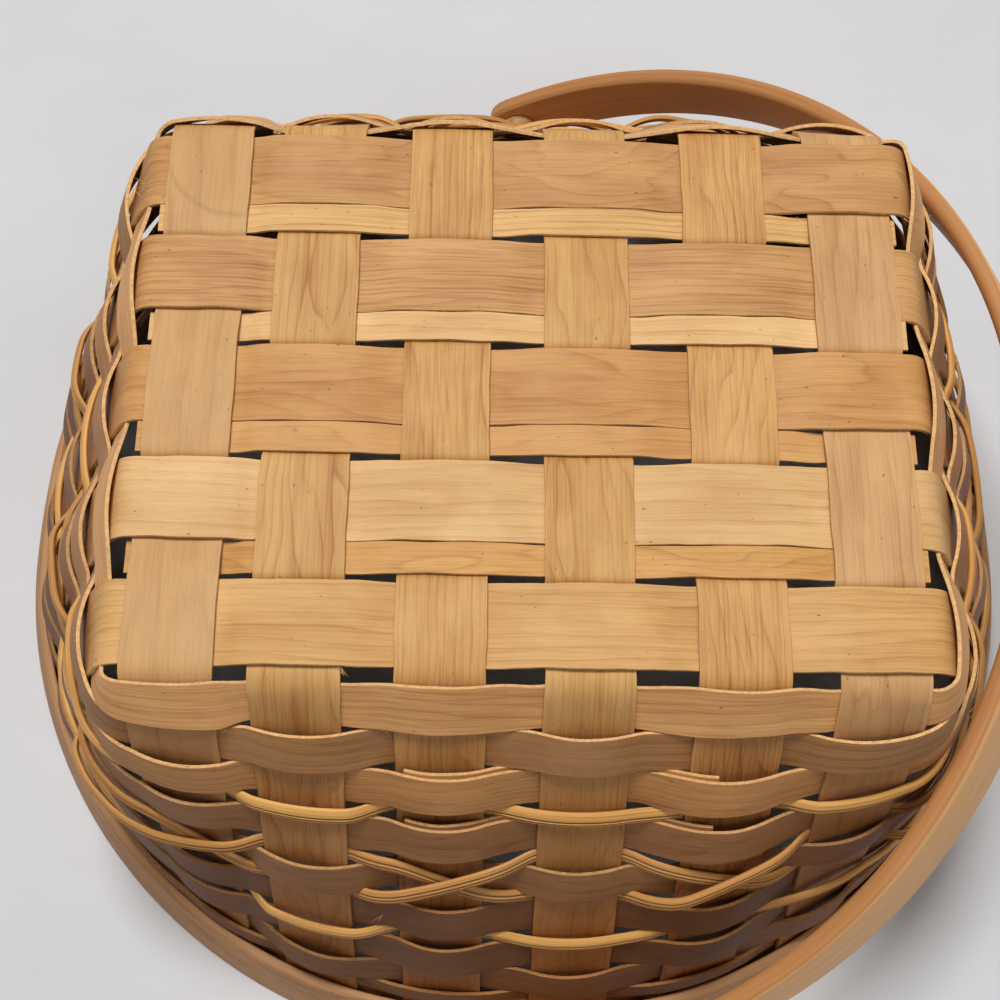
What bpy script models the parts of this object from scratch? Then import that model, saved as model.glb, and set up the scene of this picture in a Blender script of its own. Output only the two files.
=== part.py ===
# Splint pie basket, turned over so that it stands on its round rim.
# The floor weave faces up (+Z), the handle's axle lies along Y, and the rim's lower edge is at z = 0.
# Units are metres.

import math

import bmesh
import bpy
import numpy as np

# Driving sizes of the whole basket
FLOOR_HEIGHT = 0.1420  # rim edge to the middle of the floor weave
FLOOR_LENGTH = 0.2340  # between the side walls, along X, at the fold
FLOOR_DEPTH = 0.1775  # between the front and back walls, along Y, at the fold
RIM_REACH = 0.1760  # middle of the stakes at the rim edge, from the centre
RIM_FLAT = 0.0044  # half of the nearly straight stretch of the rim at each side
FOLD_CORNER = 0.0060  # corner radius of the wall's outline at the fold
FLARE_CURVE_SHARE = 0.20  # how much of the flare comes early: 0 is a straight wall
ROUNDING_POWER_SHARE = 1.4  # how early the outline turns from a rectangle to a circle
TWIST_POWER_SHARE = 0.85  # how early a stake turns to face the round rim

# Splints
STAKE_THICK = 0.0013
LONG_STAKE_WIDTH = 0.0245  # the five that run along X
CROSS_STAKE_WIDTH = 0.0254  # the six that run along Y
LONG_STAKE_PITCH = 0.0364
CROSS_STAKE_PITCH = 0.0400
CROSS_PLACE_SHARES = (-2.47, -1.60, -0.60, 0.435, 1.495, 2.47)  # of the pitch, set by hand
LONG_PLACE_SHARES = (2.0, 1.0, 0.0, -1.0, -2.0)  # of the pitch, from the back
FILLER_THICK = 0.0011
FILLER_STEP = 0.0022  # room beside a filler, where the cross stakes change sides
FILLER_END = 0.0019  # how far a filler's cut end shows past the outer stakes
WEAVER_THICK = 0.0012
REED_THICK = 0.0018
CROSS_REED_WIDTH = 0.0038
CROSS_REED_ROOM = 0.0007  # extra height left for a cross reed between the rows
SEAT_GAP = 0.0003  # between floor splints that touch
WEAVE_GAP = 0.0005  # between a stake and the weaver that crosses it
CORNER_GAP = 0.0003  # more room beside the outer cross stakes, which twist the most
ROW_GAP = 0.0006  # between rows, on the steepest wall
WEAVE_MARGIN = 0.0012  # how far a weaver stays flat past a stake's edge
FOLD_REACH = 0.0050  # how far the fold's curve reaches from the corner
TOP_MARGIN = 0.0003  # fold corner to the first row
FIRST_ROW_TUCK = 0.0058  # how much lower the first row starts where it passes under a fold
RIM_MARGIN = 0.0022  # last row to the hoops

# Widths of the rows from the floor to the rim, measured on the longest wall
WIDE_ROWS = (0.0168, 0.0139, 0.0135, 0.0135, 0.0128, 0.0138, 0.0138, 0.0122, 0.0058)
NARROW_ROWS = (0.0053, 0.0043)

# Crossing reeds
REED_EDGE_SHARE = 0.66  # how much of its height a reed still has at the edge of the stake it crosses
REED_STEP_SHARE = 0.48  # how far into a gap between stakes a reed has come out of the wall
CORNER_STEP_SHARES = (0.16, 0.45, 0.75)  # stations of a reed round a corner of the wall
CORNER_BULGE = 0.0014  # how much further out a reed runs round a corner

# Rim hoops
HOOP_HEIGHT = 0.0190
HOOP_STEPS = 15  # facets in a quarter of the rim
CORNER_STEPS = 4  # stations of a row round a corner of the wall
OUTER_HOOP_THICK = 0.0032
INNER_HOOP_THICK = 0.0030
STAKE_END_INSET = 0.0010  # stake ends stop this far above the hoops' lower edge

# Handle and its rivets
HANDLE_WIDTH = 0.0290  # at the crown
HANDLE_END_WIDTH = 0.0236  # at the rivets
HANDLE_THICK = 0.0060
HANDLE_EDGE = 0.0016  # rounding of the handle's long edges
HANDLE_CLEAR = 0.0036  # between the crown of the handle and the rim as they pass
HANDLE_STEPS = 36
END_SHARES = (0.02, 0.14, 0.38, 0.70)  # stations of the rounded ends, as shares of the half width
HANDLE_WALL_GAP = 0.0004  # left between the folded handle and the corners of the weave
FOLD_STEPS = 90  # tilts tried between flat and upright, to find where the folded handle stops
FOLD_HALVINGS = 20
PIVOT_HEIGHT = 0.0130
RIVET_RADIUS = 0.0020
RIVET_CLEAR = 0.0003
HEAD_RADIUS = 0.0050
HEAD_HEIGHT = 0.0018
BURR_RADIUS = 0.0042
BURR_HEIGHT = 0.0013
BOSS_RADIUS = 0.0070
ROUND_SEGMENTS = 16
CUT_OVERRUN = 0.0040

FLOOR = FLOOR_HEIGHT
HALF_LENGTH = FLOOR_LENGTH / 2
HALF_DEPTH = FLOOR_DEPTH / 2
HOOP_SHARE = 1 - HOOP_HEIGHT / FLOOR_HEIGHT
STAKE_SAG = CROSS_STAKE_WIDTH**2 / (8 * RIM_REACH)
FLOOR_LIFT = (STAKE_THICK + SEAT_GAP) / 2
LONG_Y = [share * LONG_STAKE_PITCH for share in LONG_PLACE_SHARES]
CROSS_X = [share * CROSS_STAKE_PITCH for share in CROSS_PLACE_SHARES]
FILLER_WIDTH = LONG_STAKE_PITCH - LONG_STAKE_WIDTH - SEAT_GAP - FILLER_STEP


def clear_scene():
    for thing in list(bpy.data.objects):
        bpy.data.objects.remove(thing, do_unlink=True)


def finish_of(name, colour, rough, metal=0.0):
    made = bpy.data.materials.new(name)
    made.use_nodes = True
    shader = made.node_tree.nodes["Principled BSDF"]
    shader.inputs["Base Color"].default_value = (*colour, 1.0)
    shader.inputs["Roughness"].default_value = rough
    shader.inputs["Metallic"].default_value = metal
    return made


def unit(vector):
    return vector / np.linalg.norm(vector)


# The wall: an outline that turns from a rounded rectangle into a circle


def outline_at(share):
    """Half length, half depth and corner centre of the wall's outline, share 0 at the fold, 1 at the rim."""
    flare = share * (1 + FLARE_CURVE_SHARE * (1 - share))
    turn = 1 - (1 - share) ** ROUNDING_POWER_SHARE
    half_x = HALF_LENGTH + (RIM_REACH - HALF_LENGTH) * flare
    half_y = HALF_DEPTH + (RIM_REACH - HALF_DEPTH) * flare
    corner_x = (HALF_LENGTH - FOLD_CORNER) * (1 - turn) + RIM_FLAT * turn
    corner_y = (HALF_DEPTH - FOLD_CORNER) * (1 - turn) + RIM_FLAT * turn
    return half_x, half_y, corner_x, corner_y


def reach_beside(place, share, along_x):
    """How far out the wall stands beside a stake, and the outline's slope there."""
    half_x, half_y, corner_x, corner_y = outline_at(share)
    if not along_x:
        half_x, half_y, corner_x, corner_y = half_y, half_x, corner_y, corner_x
    past = abs(place) - corner_x
    if past <= 0:
        return half_y, 0.0
    across, out = half_x - corner_x, half_y - corner_y
    root = math.sqrt(1 - (past / across) ** 2)
    slope = -math.copysign(out * past / (across**2 * root), place)
    return corner_y + out * root, slope


def wall_point(stake, share):
    """A stake's middle line on the wall, and its width direction there, going round by the right."""
    place, side, along_x = stake["place"], stake["side"], stake["along_x"]
    reach, slope = reach_beside(place, share, along_x)
    if share < HOOP_SHARE:
        full = math.atan(reach_beside(place, HOOP_SHARE, along_x)[1])
        slope = math.tan(full * (share / HOOP_SHARE) ** TWIST_POWER_SHARE)
    height = FLOOR * (1 - share)
    if along_x:
        spot = np.array([place, side * reach, height])
        tangent = np.array([1.0, side * slope, 0.0]) * -side
    else:
        spot = np.array([side * reach, place, height])
        tangent = np.array([side * slope, 1.0, 0.0]) * side
    return spot, unit(tangent)


def make_stakes():
    """The 22 places where a stake climbs the wall, in order: front, right, back, left."""
    front = [dict(place=x, side=-1, along_x=True, width=CROSS_STAKE_WIDTH) for x in CROSS_X]
    right = [dict(place=y, side=1, along_x=False, width=LONG_STAKE_WIDTH) for y in reversed(LONG_Y)]
    back = [dict(place=x, side=1, along_x=True, width=CROSS_STAKE_WIDTH) for x in reversed(CROSS_X)]
    left = [dict(place=y, side=-1, along_x=False, width=LONG_STAKE_WIDTH) for y in LONG_Y]
    stakes = front + right + back + left
    steps = 200
    for stake in stakes:
        shares = np.linspace(0.0, HOOP_SHARE, steps + 1)
        spots = np.array([wall_point(stake, share)[0] for share in shares])
        runs = np.linalg.norm(np.diff(spots, axis=0), axis=1)
        stake["run"] = np.concatenate([[0.0], np.cumsum(runs)])
        stake["shares"] = shares
        stake["length"] = stake["run"][-1]
    longest = max(stake["length"] for stake in stakes)
    for stake in stakes:
        stake["size"] = stake["length"] / longest
        stake["outer"] = stake["along_x"] and stake["place"] in (CROSS_X[0], CROSS_X[-1])
    return stakes


def share_at(stake, run_share):
    """The height share at a share of the stake's own length on the wall."""
    return float(np.interp(run_share * stake["length"], stake["run"], stake["shares"]))


def wall_frame(stake, run_share):
    """Place, direction round the wall, direction down the stake, and outward normal."""
    share = share_at(stake, run_share)
    spot, tangent = wall_point(stake, share)
    nudge = 1e-3
    ahead = wall_point(stake, min(share + nudge, 1.0))[0]
    behind = wall_point(stake, max(share - nudge, 0.0))[0]
    down = unit(ahead - behind)
    normal = unit(np.cross(tangent, -down))
    return spot, tangent, down, normal


# Where the rows lie on the wall, as shares of a stake's length there


def plan_rows(stakes):
    """Row centres from the floor down, as shares of the wall, spaced to fill the longest stake."""
    wide = list(WIDE_ROWS)
    order = []
    for number, width in enumerate(wide, start=1):
        order.append((f"weaver_row_{number}", width, WEAVER_THICK))
        if number == 3:
            order.append(("reed_row_1", NARROW_ROWS[0], REED_THICK))
        if number == 4 or number == 5:
            order.append((None, CROSS_REED_WIDTH + CROSS_REED_ROOM, REED_THICK))
        if number == 6:
            order.append(("reed_row_2", NARROW_ROWS[1], REED_THICK))
    used = TOP_MARGIN + RIM_MARGIN + sum(width + ROW_GAP for _, width, _ in order)
    longest = max(stake["length"] for stake in stakes)
    spare = (longest - used) / len(order)
    rows, levels, at = {}, [], TOP_MARGIN
    for name, width, thick in order:
        centre = (at + width / 2) / longest
        if name:
            tuck = 0.0 if rows else FIRST_ROW_TUCK
            rows[name] = dict(level=centre, width=width, thick=thick, tuck=tuck)
        else:
            levels.append(centre)
        at += width + ROW_GAP + spare
    return rows, levels


# Strips: a flat grid laid along a line of stations, then given its thickness


def lay_strip(name, spots, sides, widths, thick, material, closed=False):
    """spots are the strip's middle line, sides its width direction at each."""
    count = len(spots)
    mesh = bpy.data.meshes.new(name)
    bm = bmesh.new()
    bmesh.ops.create_grid(bm, x_segments=count if closed else count - 1, y_segments=1, size=1.0)
    last = count if closed else count - 1
    for vert in bm.verts:
        station = int(round((vert.co.x + 1) / 2 * last)) % count
        half = widths[station] / 2
        vert.co = spots[station] + sides[station] * half * (1 if vert.co.y > 0 else -1)
    if closed:
        bmesh.ops.remove_doubles(bm, verts=bm.verts, dist=thick / 100)
    bm.to_mesh(mesh)
    bm.free()
    mesh.shade_smooth()
    strip = bpy.data.objects.new(name, mesh)
    bpy.context.scene.collection.objects.link(strip)
    mesh.materials.append(material)
    wall = strip.modifiers.new("thickness", "SOLIDIFY")
    wall.thickness = thick
    wall.offset = 0.0
    wall.use_even_offset = True
    return strip


def lay_bar(name, spots, sides, widths, thick, edge, material):
    """A solid bar with rounded long edges along the spots; sides hold its width direction."""
    corner = [(1.0, 0.0), (math.sqrt(0.5), math.sqrt(0.5)), (0.0, 1.0)]
    mesh = bpy.data.meshes.new(name)
    bm = bmesh.new()
    rings = []
    for i, spot in enumerate(spots):
        ahead, behind = spots[min(i + 1, len(spots) - 1)], spots[max(i - 1, 0)]
        out = unit(np.cross(sides[i], ahead - behind))
        w, t = widths[i] / 2 - edge, thick / 2 - edge
        section = [(w + edge * c, t + edge * s) for c, s in corner]
        section += [(-w - edge * c, t + edge * s) for c, s in reversed(corner)]
        section += [(-w - edge * c, -t - edge * s) for c, s in corner]
        section += [(w + edge * c, -t - edge * s) for c, s in reversed(corner)]
        rings.append([bm.verts.new(spot + sides[i] * across + out * up) for across, up in section])
    for ring, after in zip(rings, rings[1:]):
        for i in range(len(ring)):
            j = (i + 1) % len(ring)
            bm.faces.new((ring[i], ring[j], after[j], after[i]))
    bm.faces.new(rings[0])
    bm.faces.new(rings[-1])
    bmesh.ops.recalc_face_normals(bm, faces=bm.faces)
    bm.to_mesh(mesh)
    bm.free()
    mesh.shade_smooth()
    mesh.set_sharp_from_angle(angle=math.radians(50.0))
    bar = bpy.data.objects.new(name, mesh)
    bpy.context.scene.collection.objects.link(bar)
    mesh.materials.append(material)
    return bar


def bend(start, corner, end, steps):
    """A quadratic curve round a fold, without its two ends."""
    shares = [(i + 1) / (steps + 1) for i in range(steps)]
    return [(1 - t) ** 2 * start + 2 * t * (1 - t) * corner + t**2 * end for t in shares]


# Floor splints


def wall_stations(stake, row_shares):
    """Stations down the wall from just past the fold to the end between the hoops."""
    stations = []
    for run_share in row_shares:
        spot, tangent, _, _ = wall_frame(stake, run_share)
        stations.append((spot, tangent))
    stations.append(wall_point(stake, HOOP_SHARE))
    stations.append(wall_point(stake, 1 - STAKE_END_INSET / FLOOR))
    return stations


def make_stake(name, low, high, floor_line, across, width, material, row_shares):
    """One stake: up one wall, over the floor and down the other; floor_line holds (place along, lift)."""
    along = np.array([0.0, 1.0, 0.0]) if low["along_x"] else np.array([1.0, 0.0, 0.0])
    fixed = low["place"] * (np.array([1.0, 0.0, 0.0]) if low["along_x"] else np.array([0.0, 1.0, 0.0]))
    lift_dir = np.array([0.0, 0.0, 1.0])
    spots, sides = [], []

    def add(spot, side):
        spots.append(spot)
        sides.append(side)

    def wall_side(stake, turned):
        folded = [FOLD_REACH / stake["length"]] + row_shares
        stations = wall_stations(stake, folded)
        return [(spot, tangent * turned) for spot, tangent in stations]

    def fold(stake, place, lift, reach_side):
        inner = fixed + along * place + lift_dir * (FLOOR + lift)
        top, below = wall_point(stake, 0.0)[0], wall_point(stake, 1e-3)[0]
        lean = np.dot(below - top, along) / (top[2] - below[2])
        corner = fixed + along * (reach_side - lift * lean) + lift_dir * (FLOOR + lift)
        outer = wall_frame(stake, FOLD_REACH / stake["length"])[0]
        return bend(inner, corner, outer, 3)

    half = HALF_DEPTH if low["along_x"] else HALF_LENGTH
    low_wall = wall_side(low, 1.0 if np.dot(wall_point(low, 1.0)[1], across) > 0 else -1.0)
    high_wall = wall_side(high, 1.0 if np.dot(wall_point(high, 1.0)[1], across) > 0 else -1.0)
    for spot, side in reversed(low_wall):
        add(spot, side)
    for spot in reversed(fold(low, *floor_line[0], -half)):
        add(spot, across)
    for place, lift in floor_line:
        add(fixed + along * place + lift_dir * (FLOOR + lift), across)
    for spot in fold(high, *floor_line[-1], half):
        add(spot, across)
    for spot, side in high_wall:
        add(spot, side)
    widths = [width] * len(spots)
    return lay_strip(name, spots, sides, widths, STAKE_THICK, material)


def make_floor(stakes, materials, row_shares):
    """Six cross stakes, five long stakes and four fillers."""
    x_dir, y_dir = np.array([1.0, 0.0, 0.0]), np.array([0.0, 1.0, 0.0])
    front, right, back, left = stakes[0:6], stakes[6:11], stakes[11:17], stakes[17:22]
    half_long, half_cross = LONG_STAKE_WIDTH / 2, CROSS_STAKE_WIDTH / 2
    for i in range(6):
        line = []
        for j in reversed(range(5)):
            lift = -FLOOR_LIFT if (i + j) % 2 else FLOOR_LIFT
            near_edge = LONG_Y[j] - half_long
            if j < 4:
                near_edge -= SEAT_GAP + FILLER_WIDTH
            line += [(near_edge, lift), (LONG_Y[j] + half_long, lift)]
        name = f"cross_stake_{i + 1}"
        high = back[5 - i]
        make_stake(name, front[i], high, line, x_dir, CROSS_STAKE_WIDTH, materials["cross"], row_shares)
    for j in range(5):
        line = []
        for i, x in enumerate(CROSS_X):
            lift = FLOOR_LIFT if (i + j) % 2 else -FLOOR_LIFT
            before = SEAT_GAP if i == 0 else WEAVE_MARGIN
            after = SEAT_GAP if i == 5 else WEAVE_MARGIN
            line += [(x - half_cross - before, lift), (x + half_cross + after, lift)]
        name = f"long_stake_{j + 1}"
        low, high = left[j], right[4 - j]
        make_stake(name, low, high, line, y_dir, LONG_STAKE_WIDTH, materials["long"], row_shares)
    for j in range(4):
        make_filler(j, materials["filler"])


def make_filler(j, material):
    """A thin splint beside a long stake, cut to the floor's length, its ends under the outer stakes."""
    y = LONG_Y[j] - LONG_STAKE_WIDTH / 2 - SEAT_GAP - FILLER_WIDTH / 2
    half = CROSS_STAKE_WIDTH / 2
    low = FLOOR_LIFT + STAKE_THICK / 2 + SEAT_GAP + FILLER_THICK / 2
    stations = []
    for i, x in enumerate(CROSS_X):
        over = (i + j) % 2 == 1
        if i in (0, 5):
            lift = -low if over else -FLOOR_LIFT
        else:
            lift = FLOOR_LIFT if over else -FLOOR_LIFT
        before = FILLER_END if i == 0 else WEAVE_MARGIN
        after = FILLER_END if i == 5 else WEAVE_MARGIN
        stations += [(x - half - before, lift), (x + half + after, lift)]
    spots = [np.array([x, y, FLOOR + lift]) for x, lift in stations]
    sides = [np.array([0.0, 1.0, 0.0])] * len(spots)
    lay_strip(f"floor_filler_{j + 1}", spots, sides, [FILLER_WIDTH] * len(spots), FILLER_THICK, material)


# Rows of weavers round the wall


def curve_between(start, start_dir, end, end_dir, steps):
    """Points of a cubic curve between two flat stretches, without its ends."""
    chord = np.linalg.norm(end - start)
    turn = math.acos(max(-1.0, min(1.0, float(np.dot(start_dir, end_dir)))))
    pull = chord / (3 * math.cos(turn / 4) ** 2)
    a, b = start + start_dir * pull, end - end_dir * pull
    points = []
    for i in range(steps):
        t = (i + 1) / (steps + 1)
        points.append((1 - t) ** 3 * start + 3 * t * (1 - t) ** 2 * a + 3 * t**2 * (1 - t) * b + t**3 * end)
    return points


def is_corner(stakes, k):
    return stakes[k]["along_x"] != stakes[(k + 1) % len(stakes)]["along_x"]


def flat_on(stake, level, width, offset, reach):
    """Two stations of a strip lying along a stake's twisted face: their middles and width directions."""
    half = width / (2 * stake["length"])
    upper, lower = wall_frame(stake, level - half), wall_frame(stake, level + half)
    normal = unit(upper[3] + lower[3])
    stations = []
    for along in (-reach, reach):
        top, foot = upper[0] + upper[1] * along, lower[0] + lower[1] * along
        stations.append(((top + foot) / 2 + normal * offset, (foot - top) / width))
    return stations


def make_row(name, row, over_even, stakes, material):
    """A closed strip that passes in and out of the stakes at one level."""
    out = (STAKE_THICK + row["thick"]) / 2 + WEAVE_GAP
    flats = []
    for k, stake in enumerate(stakes):
        over = (k % 2 == 0) == over_even
        tuck = 0.0 if over else row["tuck"]
        width = row["width"] * stake["size"] - tuck
        level = row["level"] + tuck / 2 / stake["length"]
        reach = stake["width"] / 2 + WEAVE_MARGIN
        offset = out + (CORNER_GAP if stake["outer"] else 0.0)
        pair = flat_on(stake, level, width, offset if over else -offset, reach)
        flats.append((pair, wall_frame(stake, level)[1], width))
    spots, sides, widths = [], [], []
    for k, (pair, tangent, width) in enumerate(flats):
        spots += [pair[0][0], pair[1][0]]
        sides += [pair[0][1], pair[1][1]]
        widths += [width, width]
        if is_corner(stakes, k):
            after, after_tangent, after_width = flats[(k + 1) % len(flats)]
            curve = curve_between(pair[1][0], tangent, after[0][0], after_tangent, CORNER_STEPS)
            for i, point in enumerate(curve):
                t = (i + 1) / (CORNER_STEPS + 1)
                spots.append(point)
                sides.append(pair[1][1] * (1 - t) + after[0][1] * t)
                widths.append(width * (1 - t) + after_width * t)
    return lay_strip(name, spots, sides, widths, row["thick"], material, closed=True)


def make_rows(rows, stakes, materials):
    over_even = {
        "weaver_row_1": True, "weaver_row_2": False, "weaver_row_3": True, "reed_row_1": False,
        "weaver_row_4": True, "weaver_row_5": False, "weaver_row_6": True, "reed_row_2": False,
        "weaver_row_7": True, "weaver_row_8": False, "weaver_row_9": True,
    }
    made = []
    for name, row in rows.items():
        material = materials["reed" if "reed" in name else "weaver"]
        made.append(make_row(name, row, over_even[name], stakes, material))
    return made


# The two reeds that cross in front of every second stake


def make_cross_reeds(levels, rows, stakes, material):
    """Each reed goes once round: inside an odd stake, then out and across in front of the even one."""
    upper, lower = levels
    middle = rows["weaver_row_5"]["level"]
    inside = STAKE_THICK / 2 + WEAVE_GAP + REED_THICK / 2
    front = inside + REED_THICK + WEAVE_GAP
    first = 13
    count = len(stakes)
    made = []
    for number in (1, 2):
        is_upper = number == 1
        spots, sides = [], []

        def put(stake, level, along, offset):
            spot, tangent, down, normal = wall_frame(stake, level)
            spots.append(spot + tangent * along + normal * offset)
            sides.append(down * stake["size"])

        for step in range(count // 2):
            odd = stakes[(first + 2 * step) % count]
            even = stakes[(first + 2 * step + 1) % count]
            odd_after = stakes[(first + 2 * step + 2) % count]
            here, there = (upper, lower) if is_upper else (lower, upper)
            offset = inside if is_upper else front
            half_odd, half_even = odd["width"] / 2 + WEAVE_MARGIN, even["width"] / 2
            half_after = odd_after["width"] / 2 + WEAVE_MARGIN
            if step == 0:
                put(odd, here, SEAT_GAP, -inside)
            put(odd, here, half_odd, -inside)
            enter = middle + (here - middle) * REED_EDGE_SHARE
            leave = middle + (there - middle) * REED_EDGE_SHARE
            reed_gap(odd, even, here, enter, offset, spots, sides, False)
            put(even, enter, -half_even, offset)
            put(even, middle, 0.0, offset)
            put(even, leave, half_even, offset)
            reed_gap(even, odd_after, leave, there, offset, spots, sides, True)
            put(odd_after, there, -half_after, -inside)
            if step == count // 2 - 1:
                put(odd_after, there, -SEAT_GAP, -inside)
            is_upper = not is_upper
        widths = [CROSS_REED_WIDTH] * len(spots)
        made.append(lay_strip(f"cross_reed_{number}", spots, sides, widths, REED_THICK, material))
    return made


def reed_gap(before, after, level_a, level_b, offset, spots, sides, towards_odd):
    """Stations of a reed in the gap between two stakes; it slips out, or in, beside the odd one."""
    corner = before["along_x"] != after["along_x"]
    a, b = wall_frame(before, level_a), wall_frame(after, level_b)
    start = a[0] + a[1] * before["width"] / 2
    end = b[0] - b[1] * after["width"] / 2
    if not corner:
        t = 1 - REED_STEP_SHARE if towards_odd else REED_STEP_SHARE
        near, far = (b, a) if towards_odd else (a, b)
        edge = end if towards_odd else start
        span = np.linalg.norm(end - start) * (REED_STEP_SHARE if towards_odd else -REED_STEP_SHARE)
        spots.append(edge - near[1] * span + near[3] * offset)
        sides.append(near[2] * before["size"])
        return
    shares = CORNER_STEP_SHARES
    if towards_odd:
        shares = tuple(1 - share for share in reversed(shares))
    chord = np.linalg.norm(end - start)
    turn = math.acos(float(np.dot(a[1], b[1])))
    pull = chord / (3 * math.cos(turn / 4) ** 2)
    for t in shares:
        p, q = start + a[1] * pull, end - b[1] * pull
        point = (1 - t) ** 3 * start + 3 * t * (1 - t) ** 2 * p + 3 * t**2 * (1 - t) * q + t**3 * end
        normal = unit(a[3] * (1 - t) + b[3] * t)
        spots.append(point + normal * (offset + CORNER_BULGE))
        sides.append((a[2] * (1 - t) + b[2] * t) * before["size"])


# Rim hoops


def hoop_line(height, offset, steps):
    """The wall's outline at a height, pushed out by offset: four quarter ellipses and short flats."""
    half_x, half_y, corner_x, corner_y = outline_at(1 - height / FLOOR)
    points = []
    for quarter in range(4):
        sign_x = (1, -1, -1, 1)[quarter]
        sign_y = (1, 1, -1, -1)[quarter]
        for i in range(steps + 1):
            angle = math.pi / 2 * (quarter + i / steps)
            long_radius, deep_radius = half_x - corner_x, half_y - corner_y
            c, s = math.cos(angle), math.sin(angle)
            normal = unit(np.array([deep_radius * c, long_radius * s]))
            x = sign_x * corner_x + long_radius * c + normal[0] * offset
            y = sign_y * corner_y + deep_radius * s + normal[1] * offset
            points.append(np.array([x, y, height]))
    return points


def hoop_offsets():
    """Faces of the inner and outer hoops, measured level from the middle of the stakes."""
    lean = math.hypot(1.0, rim_slope())
    half = (STAKE_THICK / 2 + SEAT_GAP) * lean
    outer = (half + STAKE_SAG, half + STAKE_SAG + OUTER_HOOP_THICK * lean)
    inner = (-half - INNER_HOOP_THICK * lean, -half)
    return inner, outer


def rim_slope():
    """How far the front wall leans out over the hoops' height, per unit of height."""
    return (RIM_REACH - outline_at(HOOP_SHARE)[1]) / HOOP_HEIGHT


def make_hoop(name, faces, material):
    """A leaning ring with level edges, drilled at front and back for the rivets."""
    low, high = faces
    corners = ((0.0, low), (0.0, high), (HOOP_HEIGHT, high), (HOOP_HEIGHT, low))
    rings = [hoop_line(height, offset, HOOP_STEPS) for height, offset in corners]
    mesh = bpy.data.meshes.new(name)
    bm = bmesh.new()
    verts = [[bm.verts.new(point) for point in ring] for ring in rings]
    count = len(rings[0])
    for a, b in zip(verts, verts[1:] + verts[:1]):
        for i in range(count):
            j = (i + 1) % count
            bm.faces.new((a[i], a[j], b[j], b[i]))
    bmesh.ops.recalc_face_normals(bm, faces=bm.faces)
    bm.to_mesh(mesh)
    bm.free()
    mesh.shade_smooth()
    mesh.set_sharp_from_angle(angle=math.radians(50.0))
    hoop = bpy.data.objects.new(name, mesh)
    bpy.context.scene.collection.objects.link(hoop)
    mesh.materials.append(material)
    reach = outline_at(1 - PIVOT_HEIGHT / FLOOR)[1] + (low + high) / 2
    for side, word in ((-1, "near"), (1, "far")):
        drill(hoop, f"{name}_cutter_{word}", side * reach, high - low)
    return hoop


def drill(target, name, y, thick):
    """A hole through target for a rivet, along Y."""
    bm = bmesh.new()
    hole = RIVET_RADIUS + RIVET_CLEAR
    depth = thick + 2 * CUT_OVERRUN
    bmesh.ops.create_cone(bm, cap_ends=True, segments=ROUND_SEGMENTS, radius1=hole, radius2=hole, depth=depth)
    mesh = bpy.data.meshes.new(name)
    bm.to_mesh(mesh)
    bm.free()
    cutter = bpy.data.objects.new(name, mesh)
    bpy.context.scene.collection.objects.link(cutter)
    cutter.location = (0.0, y, PIVOT_HEIGHT)
    cutter.rotation_euler = (math.pi / 2, 0.0, 0.0)
    cutter.hide_render = True
    cutter.display_type = "WIRE"
    cut = target.modifiers.new("rivet hole", "BOOLEAN")
    cut.object = cutter
    cut.operation = "DIFFERENCE"
    cut.solver = "EXACT"
    return cutter


# Handle, rivets and spacers


def handle_line(steps):
    """Middle line of the bent handle in its own plane, x out from the axle and y along it, and its widths."""
    rim = RIM_REACH + hoop_offsets()[1][1]
    end_reach = rim + SEAT_GAP * 2 + HANDLE_THICK / 2
    crown_reach = rim + HANDLE_CLEAR + HANDLE_THICK / 2
    points, widths = [], []
    for i in range(steps + 1):
        angle = math.pi * (i / steps - 0.5)
        x = RIM_FLAT + (crown_reach - RIM_FLAT) * math.cos(angle)
        y = math.copysign(RIM_FLAT, angle) + (end_reach - RIM_FLAT) * math.sin(angle)
        if i == steps / 2:
            y = 0.0
        points.append((x, y))
        widths.append(HANDLE_END_WIDTH + (HANDLE_WIDTH - HANDLE_END_WIDTH) * math.cos(angle))
    return points, widths, end_reach


def weave_edges(strips):
    """Both ends of every edge of the finished rows and reeds, seen from the middle of the axle."""
    graph = bpy.context.evaluated_depsgraph_get()
    axle = np.array([0.0, 0.0, PIVOT_HEIGHT])
    edges = []
    for strip in strips:
        mesh = strip.evaluated_get(graph).to_mesh()
        spots = np.array([vert.co[:] for vert in mesh.vertices]) - axle
        edges.append(spots[np.array([edge.vertices[:] for edge in mesh.edges])])
    return np.concatenate(edges)


def inner_face(line):
    """Angle and reach of the handle's inner face in its own plane, seen from the middle of the axle."""
    spots = np.array(line)
    runs = np.gradient(spots, axis=0)
    normals = np.stack([runs[:, 1], -runs[:, 0]], axis=1) / np.linalg.norm(runs, axis=1)[:, None]
    inner = spots - normals * HANDLE_THICK / 2
    return np.arctan2(inner[:, 1], inner[:, 0]), np.hypot(inner[:, 0], inner[:, 1])


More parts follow.
